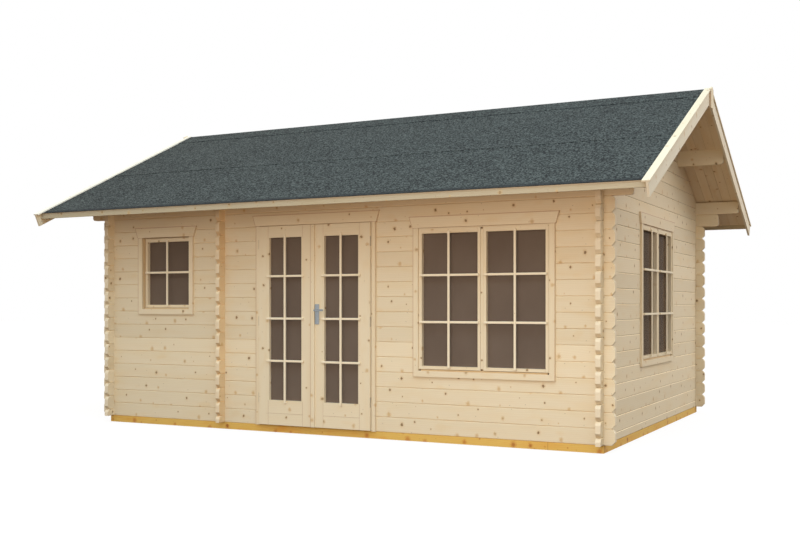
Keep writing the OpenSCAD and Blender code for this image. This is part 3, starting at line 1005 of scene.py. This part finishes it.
def place(piece: bpy.types.Object, body: str, slot: str, material: bpy.types.Material, *nodes: str) -> None:
    """Finish a new piece: its material, its body and the CAD nodes that it stands for.

    Args:
        piece: The piece.
        body: The body that it rides on.
        slot: Not used.
        material: Its material.
        nodes: CAD nodes that it replaces.
    """
    piece.data.materials.clear()
    piece.data.materials.append(material)
    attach(piece, body)
    if nodes:
        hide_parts(*nodes)
    LOG.info("built piece %s with %d faces", piece.name, len(piece.data.polygons))


@dataclass
class LogWalls:
    """Log walls, partition and purlins. A gable wall's courses lie half a course below the front wall's."""

    base: float = 0.066
    course: float = 0.137
    seed_step: float = 60.0

    def dress(self) -> None:
        """Give each wall logs that differ from course to course, and each purlin its own wood."""
        long_row = Row(2, self.base, self.course)
        cross_row = Row(2, self.base - self.course / 2, self.course)
        groups = (
            (Run.ALONG_X, long_row, 11.0, (("front_wall", LOGS), ("back_wall", LOGS))),
            (
                Run.ALONG_Y,
                cross_row,
                203.0,
                (("left_wall", LOGS), ("right_wall", GABLES), ("partition_wall", PARTITION)),
            ),
            (Run.ALONG_X, None, 411.0, (("ridge_purlin", LOGS), ("front_purlin", LOGS), ("back_purlin", LOGS))),
        )
        for run, row, seed, nodes in groups:
            for number, (name, wood) in enumerate(nodes):
                grain = Grain(run, row=row, seed=seed + self.seed_step * number)
                dress(name, wood.material(f"{name}_logs", grain))


@dataclass
class Base:
    """Impregnated beams under the walls, bearers, and the floor boards on them."""

    beam_width: float = 0.070
    butt: float = 2.173
    butt_line: tuple[float, float] = (-0.002, 0.003)
    board_width: float = 0.096
    board_gap: float = 0.0006
    groove: float = 0.002
    partition: tuple[float, float] = (-1.2195, -1.1745)
    partition_gap: float = 0.001

    def dress(self) -> None:
        """Give the beams and bearers their finish."""
        low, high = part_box("foundation_beams")
        inner = (Limit(1, low[1] + self.beam_width, high[1] - self.beam_width),)
        butt = (
            Limit(0, self.butt + self.butt_line[0], self.butt + self.butt_line[1]),
            Limit(1, low[1] - FAR, low[1] + self.beam_width),
        )
        grain = Grain(Run.ALONG_X, turned=Run.ALONG_Y, zones=(inner,), seed=5.0, seams=(butt,))
        dress("foundation_beams", OCHRE.material("foundation_wood", grain))
        dress("floor_bearers", OCHRE.material("bearer_wood", Grain(Run.ALONG_X, seed=9.0)))

    def build(self) -> None:
        """Lay the floor of each room in boards with eased edges."""
        low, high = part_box("floor_boards")
        count = round((high[1] - low[1]) / self.board_width)
        width = (high[1] - low[1]) / count
        top = high[2] - self.groove / 2
        spans = (
            (low[0], self.partition[0] - self.partition_gap),
            (self.partition[1] + self.partition_gap, high[0]),
        )
        rooms = []
        for x0, x1 in spans:
            board = Bench.block("floor_board", (x0, low[1], low[2]), (x1, low[1] + width - self.board_gap, high[2]))
            Bench.bevel(board, self.groove, 1, lambda a, b: min(a.z, b.z) > top and abs(a.x - b.x) > LONG_EDGE)
            Bench.row(board, count, (0.0, width, 0.0))
            rooms.append(board)
        floor = Bench.join("floor_boarding", rooms)
        grain = Grain(Run.ALONG_X, row=Row(1, low[1], width), seed=71.0)
        place(floor, "cabin", "spruce_boards", BOARDS.material("floor_board_wood", grain), "floor_boards")


@dataclass
class Roof:
    """Boards, felt, fascias, bargeboards and caps."""

    thickness: float = 0.018
    board_width: float = 0.095
    board_gap: float = 0.0006
    groove: float = 0.0025
    fascia_painted_highlight: float = 0.020

    def dress(self) -> None:
        """Give the felt and the edge boards their finish."""
        felt = FELT.material()
        for name in ("front_felt", "back_felt", "ridge_felt"):
            dress(name, felt)
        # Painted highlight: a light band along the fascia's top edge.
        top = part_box("fascia_boards")[1][2]
        light = (Limit(2, top - self.fascia_painted_highlight, top + FAR),)
        dress("fascia_boards", FASCIA.material("fascia_wood", Grain(Run.ALONG_X, seed=21.0, seams=(light,))))
        slopes = (("left_bargeboards", JOINERY, 27.0), ("right_bargeboards", BARGE, 31.0))
        for name, wood, seed in slopes:
            dress(name, wood.material(f"{name}_wood", Grain(Run.DOWN_SLOPE, seed=seed)))
        # The strips on the left gable are painted nearly white.
        whitened_left = (Limit(0, -FAR, 0.0),)
        grain = Grain(Run.DOWN_SLOPE, seed=37.0, seams=(whitened_left,))
        dress("cap_strips", CAPS.material("cap_strips_wood", grain))
        dress("apex_covers", APEX.material("apex_wood", Grain(Run.ALONG_Y, seed=44.0)))

    def build(self) -> None:
        """Lay both slopes in boards whose lower edges form a groove."""
        pitch = math.radians(PITCH_DEG)
        upright = self.thickness / math.cos(pitch)
        for number, side in enumerate(("front", "back")):
            name = f"{side}_roof_boards"
            low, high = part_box(name)
            count = round((high[0] - low[0]) / self.board_width)
            width = (high[0] - low[0]) / count
            corner = (low[0] + width - self.board_gap, high[1], low[2] + upright)
            board = Bench.block(f"{name}_board", tuple(low), corner)
            middle = low[2] + upright / 2
            Bench.bevel(board, self.groove, 1, lambda a, b: max(a.z, b.z) < middle and abs(a.y - b.y) > LONG_EDGE)
            rise = math.tan(pitch) * (high[1] - low[1])
            half = (low[1] + high[1]) / 2
            ridge_end = (lambda c: c.y > half) if side == "front" else (lambda c: c.y < half)
            Bench.shift(board, (0.0, 0.0, rise), ridge_end)
            Bench.row(board, count, (width, 0.0, 0.0))
            board.name = f"{side}_roof_boarding"
            grain = Grain(Run.DOWN_SLOPE, row=Row(0, low[0], width), seed=81.0 + 90 * number)
            place(board, "cabin", "spruce_boards", BOARDS.material(f"{name}_wood", grain), name)


@dataclass
class BarGrid:
    """Glazing bars on the face of one sash or leaf: an upright bar and level bars that meet it."""

    width: float
    thickness: float
    lift: float = 0.0003
    gap: float = 0.0003
    edge: float = 0.005
    relief: float = 0.0
    lug: float = 0.014
    lug_edge: float = 0.0015

    def bar(self, name: str, low: Point, high: Point) -> bpy.types.Object:
        """Make one bar with its front edges eased, on a wall that faces -Y.

        Args:
            name: Name of the bar.
            low: Its lowest corner.
            high: Its highest corner.

        Returns:
            The bar.
        """
        piece = Bench.block(name, low, high)
        front = low[1] + TINY
        Bench.bevel(piece, self.edge, 3, lambda a, b: max(a.y, b.y) < front)
        return piece

    def foot(self, name: str, low: Point, high: Point) -> bpy.types.Object:
        """Make the foot under a bar's end, with the edges that stand out from the wall eased.

        Args:
            name: Name of the foot.
            low: Its lowest corner.
            high: Its highest corner.

        Returns:
            The foot.
        """
        piece = Bench.block(name, low, high)
        Bench.bevel(piece, self.lug_edge, 2, lambda a, b: abs(a.y - b.y) > TINY)
        return piece

    def build(
        self, name: str, face: float, sides: Point, ends: tuple[float, float], levels: tuple[float, ...]
    ) -> bpy.types.Object:
        """Make the bars of one sash on a wall that faces -Y.

        Args:
            name: Name of the piece.
            face: The y of the sash's face.
            sides: Left end, middle and right end of the level bars.
            ends: Bottom and top of the upright bar.
            levels: Heights of the level bars.

        Returns:
            The piece.
        """
        foot = face - self.lift
        back = foot - self.relief
        front = foot - self.thickness
        half = self.width / 2
        middle = sides[1]
        bars = [self.bar(name, (middle - half, front, ends[0]), (middle + half, back, ends[1]))]
        feet = [(middle - half, z, middle + half, z + self.lug) for z in (ends[0], ends[1] - self.lug)]
        for level in levels:
            for x0, x1 in ((sides[0], middle - half - self.gap), (middle + half + self.gap, sides[2])):
                bars.append(self.bar(name, (x0, front, level - half), (x1, back, level + half)))
            feet += [(x, level - half, x + self.lug, level + half) for x in (sides[0], sides[2] - self.lug)]
        if self.relief:
            for x0, z0, x1, z1 in feet:
                bars.append(self.foot(name, (x0, back, z0), (x1, foot, z1)))
        return Bench.join(name, bars)

    def finish(self, piece: bpy.types.Object, body: str, axis: int, seed: float) -> None:
        """Dress the bars of one sash, with grain along each bar, and place them.

        Args:
            piece: The bars.
            body: The body that they ride on.
            axis: Axis along the wall.
            seed: Number that sets their wood apart.
        """
        reach = [corner.co[axis] for corner in piece.data.vertices]
        low, high = min(reach), max(reach)
        middle = (low + high) / 2
        half = self.width / 2
        zones = ((Limit(axis, low - FAR, middle - half),), (Limit(axis, middle + half, high + FAR),))
        grain = Grain(Run.UPRIGHT, turned=level_run(axis), zones=zones, seed=seed)
        place(piece, body, "spruce_joinery", BARS.material(f"{piece.name}_wood", grain))


@dataclass
class Window:
    """Casing, frame, sashes, glass, beads and glazing bars of one window."""

    prefix: str
    sash_node: str
    axis: int
    sashes: int
    levels: tuple[float, ...]
    seed: float
    pane: GlassFinish = PANE
    sash_width: float = 0.594
    stile: float = 0.027
    rail_low: float = 0.028
    rail_top: float = 0.040
    head: float = 0.104
    sill: float = 0.052
    sill_lap: float = 0.003
    casing: float = 0.052
    frame_sill: float = 0.034
    frame_head: float = 0.026
    lap: float = 0.016
    bead_gap: float = 0.0008
    bead_in: float = 0.002
    bead_back: float = 0.0003
    bead_edge: float = 0.0012
    bead_top: float = 0.01
    mullion_gap: float = 0.002
    mullion_end: float = 0.014
    mullion_back: float = 0.0117
    bars: BarGrid = field(default_factory=lambda: BarGrid(0.021, 0.022, edge=0.004, relief=0.012))

    def spans(self) -> list[tuple[float, float]]:
        """Return the left and right edge of each sash along the wall."""
        low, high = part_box(self.sash_node)
        left, right = low[self.axis], high[self.axis]
        if self.sashes == 1:
            return [(left, right)]
        return [(left, left + self.sash_width), (right - self.sash_width, right)]

    def dress(self) -> None:
        """Give the boards grain that follows each board, and the panes their glass."""
        low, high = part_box(f"{self.prefix}_casing")
        side = HEAD_EAR + self.casing
        sill = Limit(2, low[2] - FAR, low[2] + self.sill + self.sill_lap)
        zones = (
            (Limit(2, high[2] - self.head, high[2] + FAR),),
            (sill, Limit(self.axis, low[self.axis] + side, high[self.axis] - side)),
        )
        # Painted shadow lines along the casing's outer edges, with the joint under its head board.
        self.wood("casing", zones, 0.0, JOINERY, casing_joint_and_shadow_lines((low, high), self.axis, self.head))
        low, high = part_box(f"{self.prefix}_frame")
        zones = (
            (Limit(2, low[2] - FAR, low[2] + self.frame_sill),),
            (Limit(2, high[2] - self.frame_head, high[2] + FAR),),
        )
        self.wood("frame", zones, 3.0, FRAMES)
        zones = tuple((Limit(self.axis, a + self.stile, b - self.stile),) for a, b in self.spans())
        self.wood(self.sash_node.removeprefix(f"{self.prefix}_"), zones, 6.0, JOINERY)
        dress(f"{self.prefix}_glass", self.pane.material())

    def wood(
        self, piece: str, zones: tuple[Zone, ...], seed: float, finish: WoodFinish, seams: tuple[Zone, ...] = ()
    ) -> None:
        """Dress one node of this window in wood whose zones run level.

        Args:
            piece: End of the node's name.
            zones: Where the grain runs level.
            seed: Number that sets this wood apart.
            finish: The wood.
            seams: Thin joints and painted shadow lines.
        """
        name = f"{self.prefix}_{piece}"
        turned = level_run(self.axis)
        grain = Grain(Run.UPRIGHT, turned=turned, zones=zones, seed=self.seed + seed, seams=seams)
        dress(name, finish.material(f"{name}_wood", grain))

    def build(self) -> list[bpy.types.Object]:
        """Make the bars of the sashes of a front window.

        Returns:
            The pieces, one for each sash.
        """
        low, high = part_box(self.sash_node)
        ends = (low[2] + self.rail_low - self.lap, high[2] - self.rail_top + self.lap)
        first = self.spans()[0]
        sides = (
            first[0] + self.stile - self.lap,
            (first[0] + first[1]) / 2,
            first[1] - self.stile + self.lap,
        )
        grid = self.bars.build(f"{self.prefix}_bars_1", low[1], sides, ends, self.levels)
        pieces = [grid]
        for number, span in enumerate(self.spans()[1:], start=2):
            pieces.append(Bench.copy(grid, f"{self.prefix}_bars_{number}", (span[0] - first[0], 0.0, 0.0)))
        for piece in pieces:
            self.finish_bars(piece)
        return pieces

    def finish_bars(self, piece: bpy.types.Object) -> None:
        """Dress and place the bars of one sash."""
        self.bars.finish(piece, "cabin", self.axis, self.seed + 9.0)

    def beads(self, wall: float) -> bpy.types.Object:
        """Make the slim beads that close the gap round the sashes of a double window, and the one between them.

        Args:
            wall: The y of the wall's face.

        Returns:
            The piece.
        """
        low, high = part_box(self.sash_node)
        casing_low, casing_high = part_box(f"{self.prefix}_casing")
        name = f"{self.prefix}_beads"
        side = HEAD_EAR + self.casing
        gap = self.bead_gap
        left, right = casing_low[0] + side + gap, casing_high[0] - side - gap
        top = casing_high[2] - self.head - gap
        front, back = low[1] + self.bead_in, wall - self.bead_back
        (_, left_end), (right_start, _) = self.spans()
        boxes = (
            ((left, front, low[2]), (low[0] - gap, back, top)),
            ((high[0] + gap, front, low[2]), (right, back, top)),
            ((low[0], front, high[2] + gap), (high[0], back, top)),
            (
                (left_end + self.mullion_gap, front, low[2] + self.mullion_end),
                (right_start - self.mullion_gap, low[1] + self.mullion_back, high[2] - self.mullion_end),
            ),
        )
        rim = BarGrid(0.0, 0.0, edge=self.bead_edge)
        return Bench.join(name, [rim.bar(name, *box) for box in boxes])

    def finish_beads(self, piece: bpy.types.Object) -> None:
        """Dress and place the beads."""
        high = max(corner.co[2] for corner in piece.data.vertices)
        zones = ((Limit(2, high - self.bead_top, high + FAR),),)
        grain = Grain(Run.UPRIGHT, turned=level_run(self.axis), zones=zones, seed=self.seed + 12.0)
        place(piece, "cabin", "spruce_joinery", JOINERY.material(f"{piece.name}_wood", grain))


@dataclass
class Windows:
    """The three windows. The gable window's bars and beads are copies of the front double window's."""

    half_depth: float = 1.898
    half_len: float = 2.655
    gable_lift: float = 0.0685
    small: Window = field(
        default_factory=lambda: Window("small_window", "small_window_sash", 0, 1, (1.559,), 510.0)
    )
    front: Window = field(
        default_factory=lambda: Window("front_window", "front_window_sashes", 0, 2, (1.072, 1.489), 530.0)
    )
    side: Window = field(
        default_factory=lambda: Window(
            "side_window", "side_window_sashes", 1, 2, (1.1405, 1.5575), 550.0, pane=GABLE_PANE
        )
    )

    def dress(self) -> None:
        """Dress the three windows."""
        for window in (self.small, self.front, self.side):
            window.dress()

    def build(self) -> None:
        """Make all the glazing bars and the double windows' beads."""
        self.small.build()
        low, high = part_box("front_window_sashes")
        middle = (low[0] + high[0]) / 2
        gable_low, gable_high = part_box("side_window_sashes")
        centre = (gable_low[1] + gable_high[1]) / 2
        for number, piece in enumerate(self.front.build(), start=1):
            self.side.finish_bars(self.turned(piece, f"side_window_bars_{number}", middle, centre))
        beads = self.front.beads(-self.half_depth)
        self.front.finish_beads(beads)
        self.side.finish_beads(self.turned(beads, "side_window_beads", middle, centre))

    def turned(self, piece: bpy.types.Object, name: str, middle: float, centre: float) -> bpy.types.Object:
        """Copy a piece of the front double window to its place in the right gable.

        Args:
            piece: The piece.
            name: Name of the copy.
            middle: The x of the front window's middle.
            centre: The y of the gable window's middle.

        Returns:
            The copy.
        """
        flat = Bench.copy(piece, "piece_at_origin", (-middle, self.half_depth, self.gable_lift))
        made = Bench.copy(flat, name, (self.half_len, centre, 0.0), 90.0)
        bpy.data.objects.remove(flat)
        return made


@dataclass(frozen=True)
class Fitting:
    """A round fitting on a lock plate: its size, how far its middle stands out, and its rounded rim."""

    name: str
    length: float
    radius: float
    lift: float
    rim: float
    steps: int
    sides: int = 32

    def build(self, x: float, face: float, out: int, z: float) -> bpy.types.Object:
        """Make the fitting on one face of a plate.

        Args:
            x: Its place along the wall.
            face: The y of the plate's face.
            out: The way that the face looks, -1 or 1 in y.
            z: Its height.

        Returns:
            The fitting.
        """
        middle = (x, face + out * self.lift, z)
        piece = Bench.rod(self.name, middle, self.length, self.radius, TURN_TO_Y, self.sides)
        Bench.bevel(piece, self.rim, self.steps, lambda a, b: abs(a.y - b.y) < TINY)
        return piece


SCREW = Fitting("lock_screw", 0.0016, 0.0042, 0.0004, 0.0005, 1, 20)
COLLAR = Fitting("lock_collar", 0.003, 0.0135, 0.0015, 0.0009, 2)
KEY_BOSS = Fitting("key_boss", 0.002, 0.0085, 0.001, 0.0006, 1)


@dataclass
class Door:
    """Double door: casing, frame, leaves with bars and edge beads, cover strip, hinges, lock plates and lever."""

    head: float = 0.104
    frame_low: float = 0.034
    frame_head: float = 0.036
    bead: float = 0.013
    kick: float = 0.185
    line: float = 0.0012
    strip_shadow_line: float = 0.004
    lap: float = 0.026
    levels: tuple[float, ...] = (0.689, 1.095, 1.501)
    bars: BarGrid = field(default_factory=lambda: BarGrid(0.021, 0.015))
    hinges: tuple[float, ...] = (0.286, 1.026, 1.766)
    hinge_height: float = 0.0905
    edge_gap: float = 0.007
    edge_near: float = 0.0004
    edge_far: float = 0.0016
    edge_end: float = 0.002
    edge_depth: tuple[float, float] = (0.002, 0.014)
    edge_round: float = 0.0008
    spindle: float = 1.176
    spindle_radius: float = 0.0075
    spindle_short: float = 0.012
    plate_depth: float = 0.008
    plate_round: float = 0.006
    plate_edge: float = 0.0016
    screw_in: float = 0.012
    key_drop: float = 0.072
    grip_in: float = 0.009
    grip_radius: float = 0.0088
    grip_round: float = 0.006

    def dress(self) -> None:
        """Give the boards grain that follows each board, the panes their glass and the hinges zinc."""
        low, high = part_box("door_casing")
        head = ((Limit(2, high[2] - self.head, high[2] + FAR),),)
        # Painted shadow lines along the casing's outer edges, with the joint under its head board.
        seam_and_shadow_lines = casing_joint_and_shadow_lines((low, high), 0, self.head)
        grain = Grain(Run.UPRIGHT, turned=Run.ALONG_X, zones=head, seed=601.0, seams=seam_and_shadow_lines)
        dress("door_casing", JOINERY.material("door_casing_wood", grain))
        low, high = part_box("door_frame")
        zones = (
            (Limit(2, low[2] - FAR, low[2] + self.frame_low),),
            (Limit(2, high[2] - self.frame_head, high[2] + FAR),),
        )
        grain = Grain(Run.UPRIGHT, turned=Run.ALONG_X, zones=zones, seed=606.0)
        dress("door_frame", FRAMES.material("door_frame_wood", grain))
        self.dress_leaf("left", 611.0)
        self.dress_leaf("right", 616.0)
        low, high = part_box("door_cover_strip")
        # Painted shadow: a thin line along the cover strip's left edge.
        seam_and_shadow_lines = ((Limit(0, low[0] - FAR, low[0] + self.strip_shadow_line),),)
        dress("door_cover_strip", JOINERY.material("cover_strip_wood", Grain(Run.UPRIGHT, seed=624.0, seams=seam_and_shadow_lines)))
        zinc = ZINC.material()
        for name in ("door_hinge_pins", "left_hinge_flags", "right_hinge_flags"):
            dress(name, zinc)

    def dress_leaf(self, side: str, seed: float) -> None:
        """Give a leaf stiles, rails and a kick board with thin joints, and its glass.

        Args:
            side: Which leaf.
            seed: Number that sets its wood apart.
        """
        low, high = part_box(f"{side}_door_glass")
        stiles = (low[0] - self.bead, high[0] + self.bead)
        spans = (Limit(2, 0.0, low[2]), Limit(2, high[2], FAR))
        rails = tuple((Limit(0, *stiles), span) for span in spans)
        lines = tuple((Limit(0, x - self.line, x + self.line), span) for x in stiles for span in spans)
        kick = (Limit(2, self.kick - self.line, self.kick + self.line), Limit(0, *stiles))
        grain = Grain(Run.UPRIGHT, turned=Run.ALONG_X, zones=rails, seed=seed, seams=lines + (kick,))
        dress(f"{side}_door_leaf", JOINERY.material(f"{side}_leaf_wood", grain))
        dress(f"{side}_door_glass", PANE.material())

    def build(self) -> None:
        """Make the bars, the edge beads, the lock plates and the lever."""
        self.build_bars()
        for side in ("left", "right"):
            beads = self.edge_beads(side)
            grain = Grain(Run.UPRIGHT, seed=640.0)
            place(beads, f"{side}_leaf", "spruce_joinery", JOINERY.material(f"{beads.name}_wood", grain))
        metal = HANDLE_METAL.material()
        place(self.plates(), "right_leaf", "grey_metal", metal, "lock_plates")
        place(self.lever(), "lever", "grey_metal", metal, "lever_handle")

    def build_bars(self) -> None:
        """Make the bars of the left leaf's outer face, and copy them to its inner face and to the right leaf."""
        glass_low, glass_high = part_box("left_door_glass")
        leaf_low, leaf_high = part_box("left_door_leaf")
        middle = (glass_low[0] + glass_high[0]) / 2
        sides = (glass_low[0] - self.lap, middle, glass_high[0] + self.lap)
        ends = (glass_low[2] - self.lap, glass_high[2] + self.lap)
        left = self.bars.build("left_leaf_bars", leaf_low[1], sides, ends, self.levels)
        across = (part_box("right_door_glass")[0][0] - glass_low[0], 0.0, 0.0)
        right = Bench.copy(left, "right_leaf_bars", across)
        turn = (2 * middle, leaf_low[1] + leaf_high[1], 0.0)
        inside_left = Bench.copy(left, "left_leaf_inner_bars", turn, 180.0)
        inside_right = Bench.copy(inside_left, "right_leaf_inner_bars", across)
        for body, pieces in (("left_leaf", (left, inside_left)), ("right_leaf", (right, inside_right))):
            for piece in pieces:
                self.bars.finish(piece, body, 0, 630.0)

    def edge_beads(self, side: str) -> bpy.types.Object:
        """Make the slim beads on a leaf's hinged edge, between its hinges.

        Args:
            side: Which leaf.

        Returns:
            The piece.
        """
        low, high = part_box(f"{side}_door_leaf")
        near, far = self.edge_near, self.edge_gap - self.edge_far
        x0, x1 = (low[0] - far, low[0] - near) if side == "left" else (high[0] + near, high[0] + far)
        front, back = (low[1] + depth for depth in self.edge_depth)
        starts = (low[2], *(z + self.hinge_height + self.edge_end for z in self.hinges))
        tops = (*(z - self.edge_end for z in self.hinges), high[2])
        name = f"{side}_leaf_edge_beads"
        rim = BarGrid(0.0, 0.0, edge=self.edge_round)
        strips = [rim.bar(name, (x0, front, z0), (x1, back, z1)) for z0, z1 in zip(starts, tops)]
        return Bench.join(name, strips)

    def plates(self) -> bpy.types.Object:
        """Make the lock's two long plates with rounded corners, screws, collars and key bosses.

        Returns:
            The piece.
        """
        low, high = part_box("lock_plates")
        middle = (low[0] + high[0]) / 2
        fittings = (
            (SCREW, low[2] + self.screw_in),
            (SCREW, high[2] - self.screw_in),
            (COLLAR, self.spindle),
            (KEY_BOSS, self.spindle - self.key_drop),
        )
        made = []
        for face, back, out in ((low[1], low[1] + self.plate_depth, -1), (high[1], high[1] - self.plate_depth, 1)):
            corners_y = sorted((face, back))
            plate = Bench.block("lock_plate", (low[0], corners_y[0], low[2]), (high[0], corners_y[1], high[2]))
            Bench.bevel(plate, self.plate_round, 4, lambda a, b: abs(a.y - b.y) > TINY)
            Bench.bevel(plate, self.plate_edge, 2, lambda a, b: abs(a.y - face) < TINY and abs(b.y - face) < TINY)
            made.append(plate)
            made += [fitting.build(middle, face, out, z) for fitting, z in fittings]
        plates = Bench.join("lock_plate_pair", made)
        Bench.smooth(plates)
        return plates

    def lever(self) -> bpy.types.Object:
        """Make the spindle with a rounded lever at each end.

        Returns:
            The piece.
        """
        low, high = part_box("lever_handle")
        length = high[1] - low[1] - self.spindle_short
        start = (low[0] + self.grip_in, (low[1] + high[1]) / 2, self.spindle)
        made = [Bench.rod("spindle", start, length, self.spindle_radius, TURN_TO_Y)]
        for y in (low[1] + self.grip_in, high[1] - self.grip_in):
            at = ((low[0] + high[0]) / 2, y, self.spindle)
            grip = Bench.rod("lever_grip", at, high[0] - low[0], self.grip_radius, TURN_TO_X)
            Bench.bevel(grip, self.grip_round, 4, lambda a, b: abs(a.x - b.x) < TINY)
            made.append(grip)
        lever = Bench.join("lever_pair", made)
        Bench.smooth(lever)
        return lever


@dataclass(frozen=True)
class Lamp:
    """A large soft lamp: its place, what it faces, its width and height, its power and its colour."""

    name: str
    at: Point
    to: Point
    size: tuple[float, float]
    watts: float
    colour: Point = (1.0, 1.0, 1.0)

    def hang(self) -> None:
        """Add the lamp to the scene."""
        light = bpy.data.lights.new(self.name, "AREA")
        light.shape = "RECTANGLE"
        light.size, light.size_y = self.size
        light.energy = self.watts
        light.color = self.colour
        lamp = bpy.data.objects.new(self.name, light)
        lamp.location = self.at
        aim = Vector(self.to) - Vector(self.at)
        lamp.rotation_euler = aim.to_track_quat("-Z", "Y").to_euler()
        bpy.context.collection.objects.link(lamp)


FRONT = Lamp("warm_front", (2.5, -7.0, 1.3), (1.5, -1.9, 1.6), (3.0, 2.0), 97.0, (1.0, 0.785, 0.61))
ABOVE = Lamp("cool_above", (3.0, -6.0, 10.0), (0.0, -1.0, 1.5), (7.0, 7.0), 560.0, (0.36, 0.7, 1.0))
GABLE = Lamp("gable_fill", (9.0, 5.0, 6.5), (2.7, 0.0, 1.6), (5.0, 4.0), 155.0, (1.0, 0.93, 0.98))


@dataclass
class Studio:
    """Camera at the photograph's place, pale floor, sky and soft lamps."""

    image: tuple[int, int] = (800, 533)
    camera_at: Point = (5.0488, -10.2470, 1.2124)
    camera_turn_deg: float = 27.118
    focal_px: float = 1036.3956
    horizon_px: float = 306.3255
    sensor: float = 36.0
    clip_end: float = 300.0
    floor_size: float = 120.0
    floor_drop: float = 0.002
    floor_pale: Colour = (0.9, 0.9, 0.9, 1.0)
    floor_glow: float = 1.04
    glow_share: float = 0.85
    floor_bounce: Colour = paint(88, 70, 60)
    sky: float = 1.08
    sky_colour: Colour = (1.0, 0.97, 0.91, 1.0)
    lamps: tuple[Lamp, ...] = (FRONT, ABOVE, GABLE)

    def build(self) -> None:
        """Make the camera, the floor, the sky and the lamps."""
        self.camera()
        self.floor()
        self.world()
        for lamp in self.lamps:
            lamp.hang()
        bpy.context.scene.view_settings.view_transform = "Standard"

    def camera(self) -> None:
        """Place the camera that was fitted to the photograph."""
        lens = bpy.data.cameras.new("photo_camera")
        lens.sensor_fit = "HORIZONTAL"
        lens.sensor_width = self.sensor
        lens.lens = self.focal_px * self.sensor / self.image[0]
        lens.shift_y = (self.horizon_px - self.image[1] / 2) / self.image[0]
        lens.clip_end = self.clip_end
        camera = bpy.data.objects.new("photo_camera", lens)
        camera.location = self.camera_at
        camera.rotation_euler = (math.pi / 2, 0.0, math.radians(self.camera_turn_deg))
        bpy.context.collection.objects.link(camera)
        bpy.context.scene.camera = camera

    def seen(self, graph: Graph) -> Field:
        """Return 1 for rays that show the background: from the camera, a gloss or a pane."""
        path = graph.node("ShaderNodeLightPath", {}, {})
        seen = Field(graph, path.outputs["Is Camera Ray"])
        for name in ("Is Glossy Ray", "Is Transmission Ray"):
            seen = seen.most(Field(graph, path.outputs[name]))
        return seen

    def floor(self) -> None:
        """Lay the floor: white to the camera but for the object's shadow, and muted as a source of light."""
        bpy.ops.object.select_all(action="DESELECT")
        bpy.ops.mesh.primitive_plane_add(size=self.floor_size, location=(0.0, 0.0, -self.floor_drop))
        floor = bpy.context.object
        floor.name = "studio_floor"
        graph = Graph(bpy.data.materials.new("studio_floor_white"))
        muted = graph.node("ShaderNodeBsdfDiffuse", {}, {"Color": self.floor_bounce})
        pale = graph.node("ShaderNodeBsdfDiffuse", {}, {"Color": self.floor_pale})
        glow = graph.node("ShaderNodeEmission", {}, {"Color": WHITE, "Strength": self.floor_glow})
        white = graph.node("ShaderNodeMixShader", {}, {0: self.glow_share, 1: pale.outputs[0], 2: glow.outputs[0]})
        mixed = graph.node("ShaderNodeMixShader", {}, {0: self.seen(graph), 1: muted.outputs[0], 2: white.outputs[0]})
        graph.node("ShaderNodeOutputMaterial", {}, {"Surface": mixed.outputs[0]})
        floor.data.materials.append(graph.owner)

    def world(self) -> None:
        """Make an even pale sky that shows white."""
        graph = Graph(bpy.data.worlds.new("studio_sky"))
        bpy.context.scene.world = graph.owner
        sky = graph.node("ShaderNodeBackground", {}, {"Color": self.sky_colour, "Strength": self.sky})
        white = graph.node("ShaderNodeBackground", {}, {"Color": WHITE, "Strength": 1.0})
        mixed = graph.node("ShaderNodeMixShader", {}, {0: self.seen(graph), 1: sky.outputs[0], 2: white.outputs[0]})
        graph.node("ShaderNodeOutputWorld", {}, {"Surface": mixed.outputs[0]})


def main() -> None:
    """Build the studio and the cabin's looks."""
    logging.basicConfig(level=logging.INFO, format="%(message)s")
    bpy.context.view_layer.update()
    Studio().build()
    LogWalls().dress()
    for assembly in (Base(), Roof(), Windows(), Door()):
        assembly.dress()
        assembly.build()


if __name__ == "__main__":
    main()
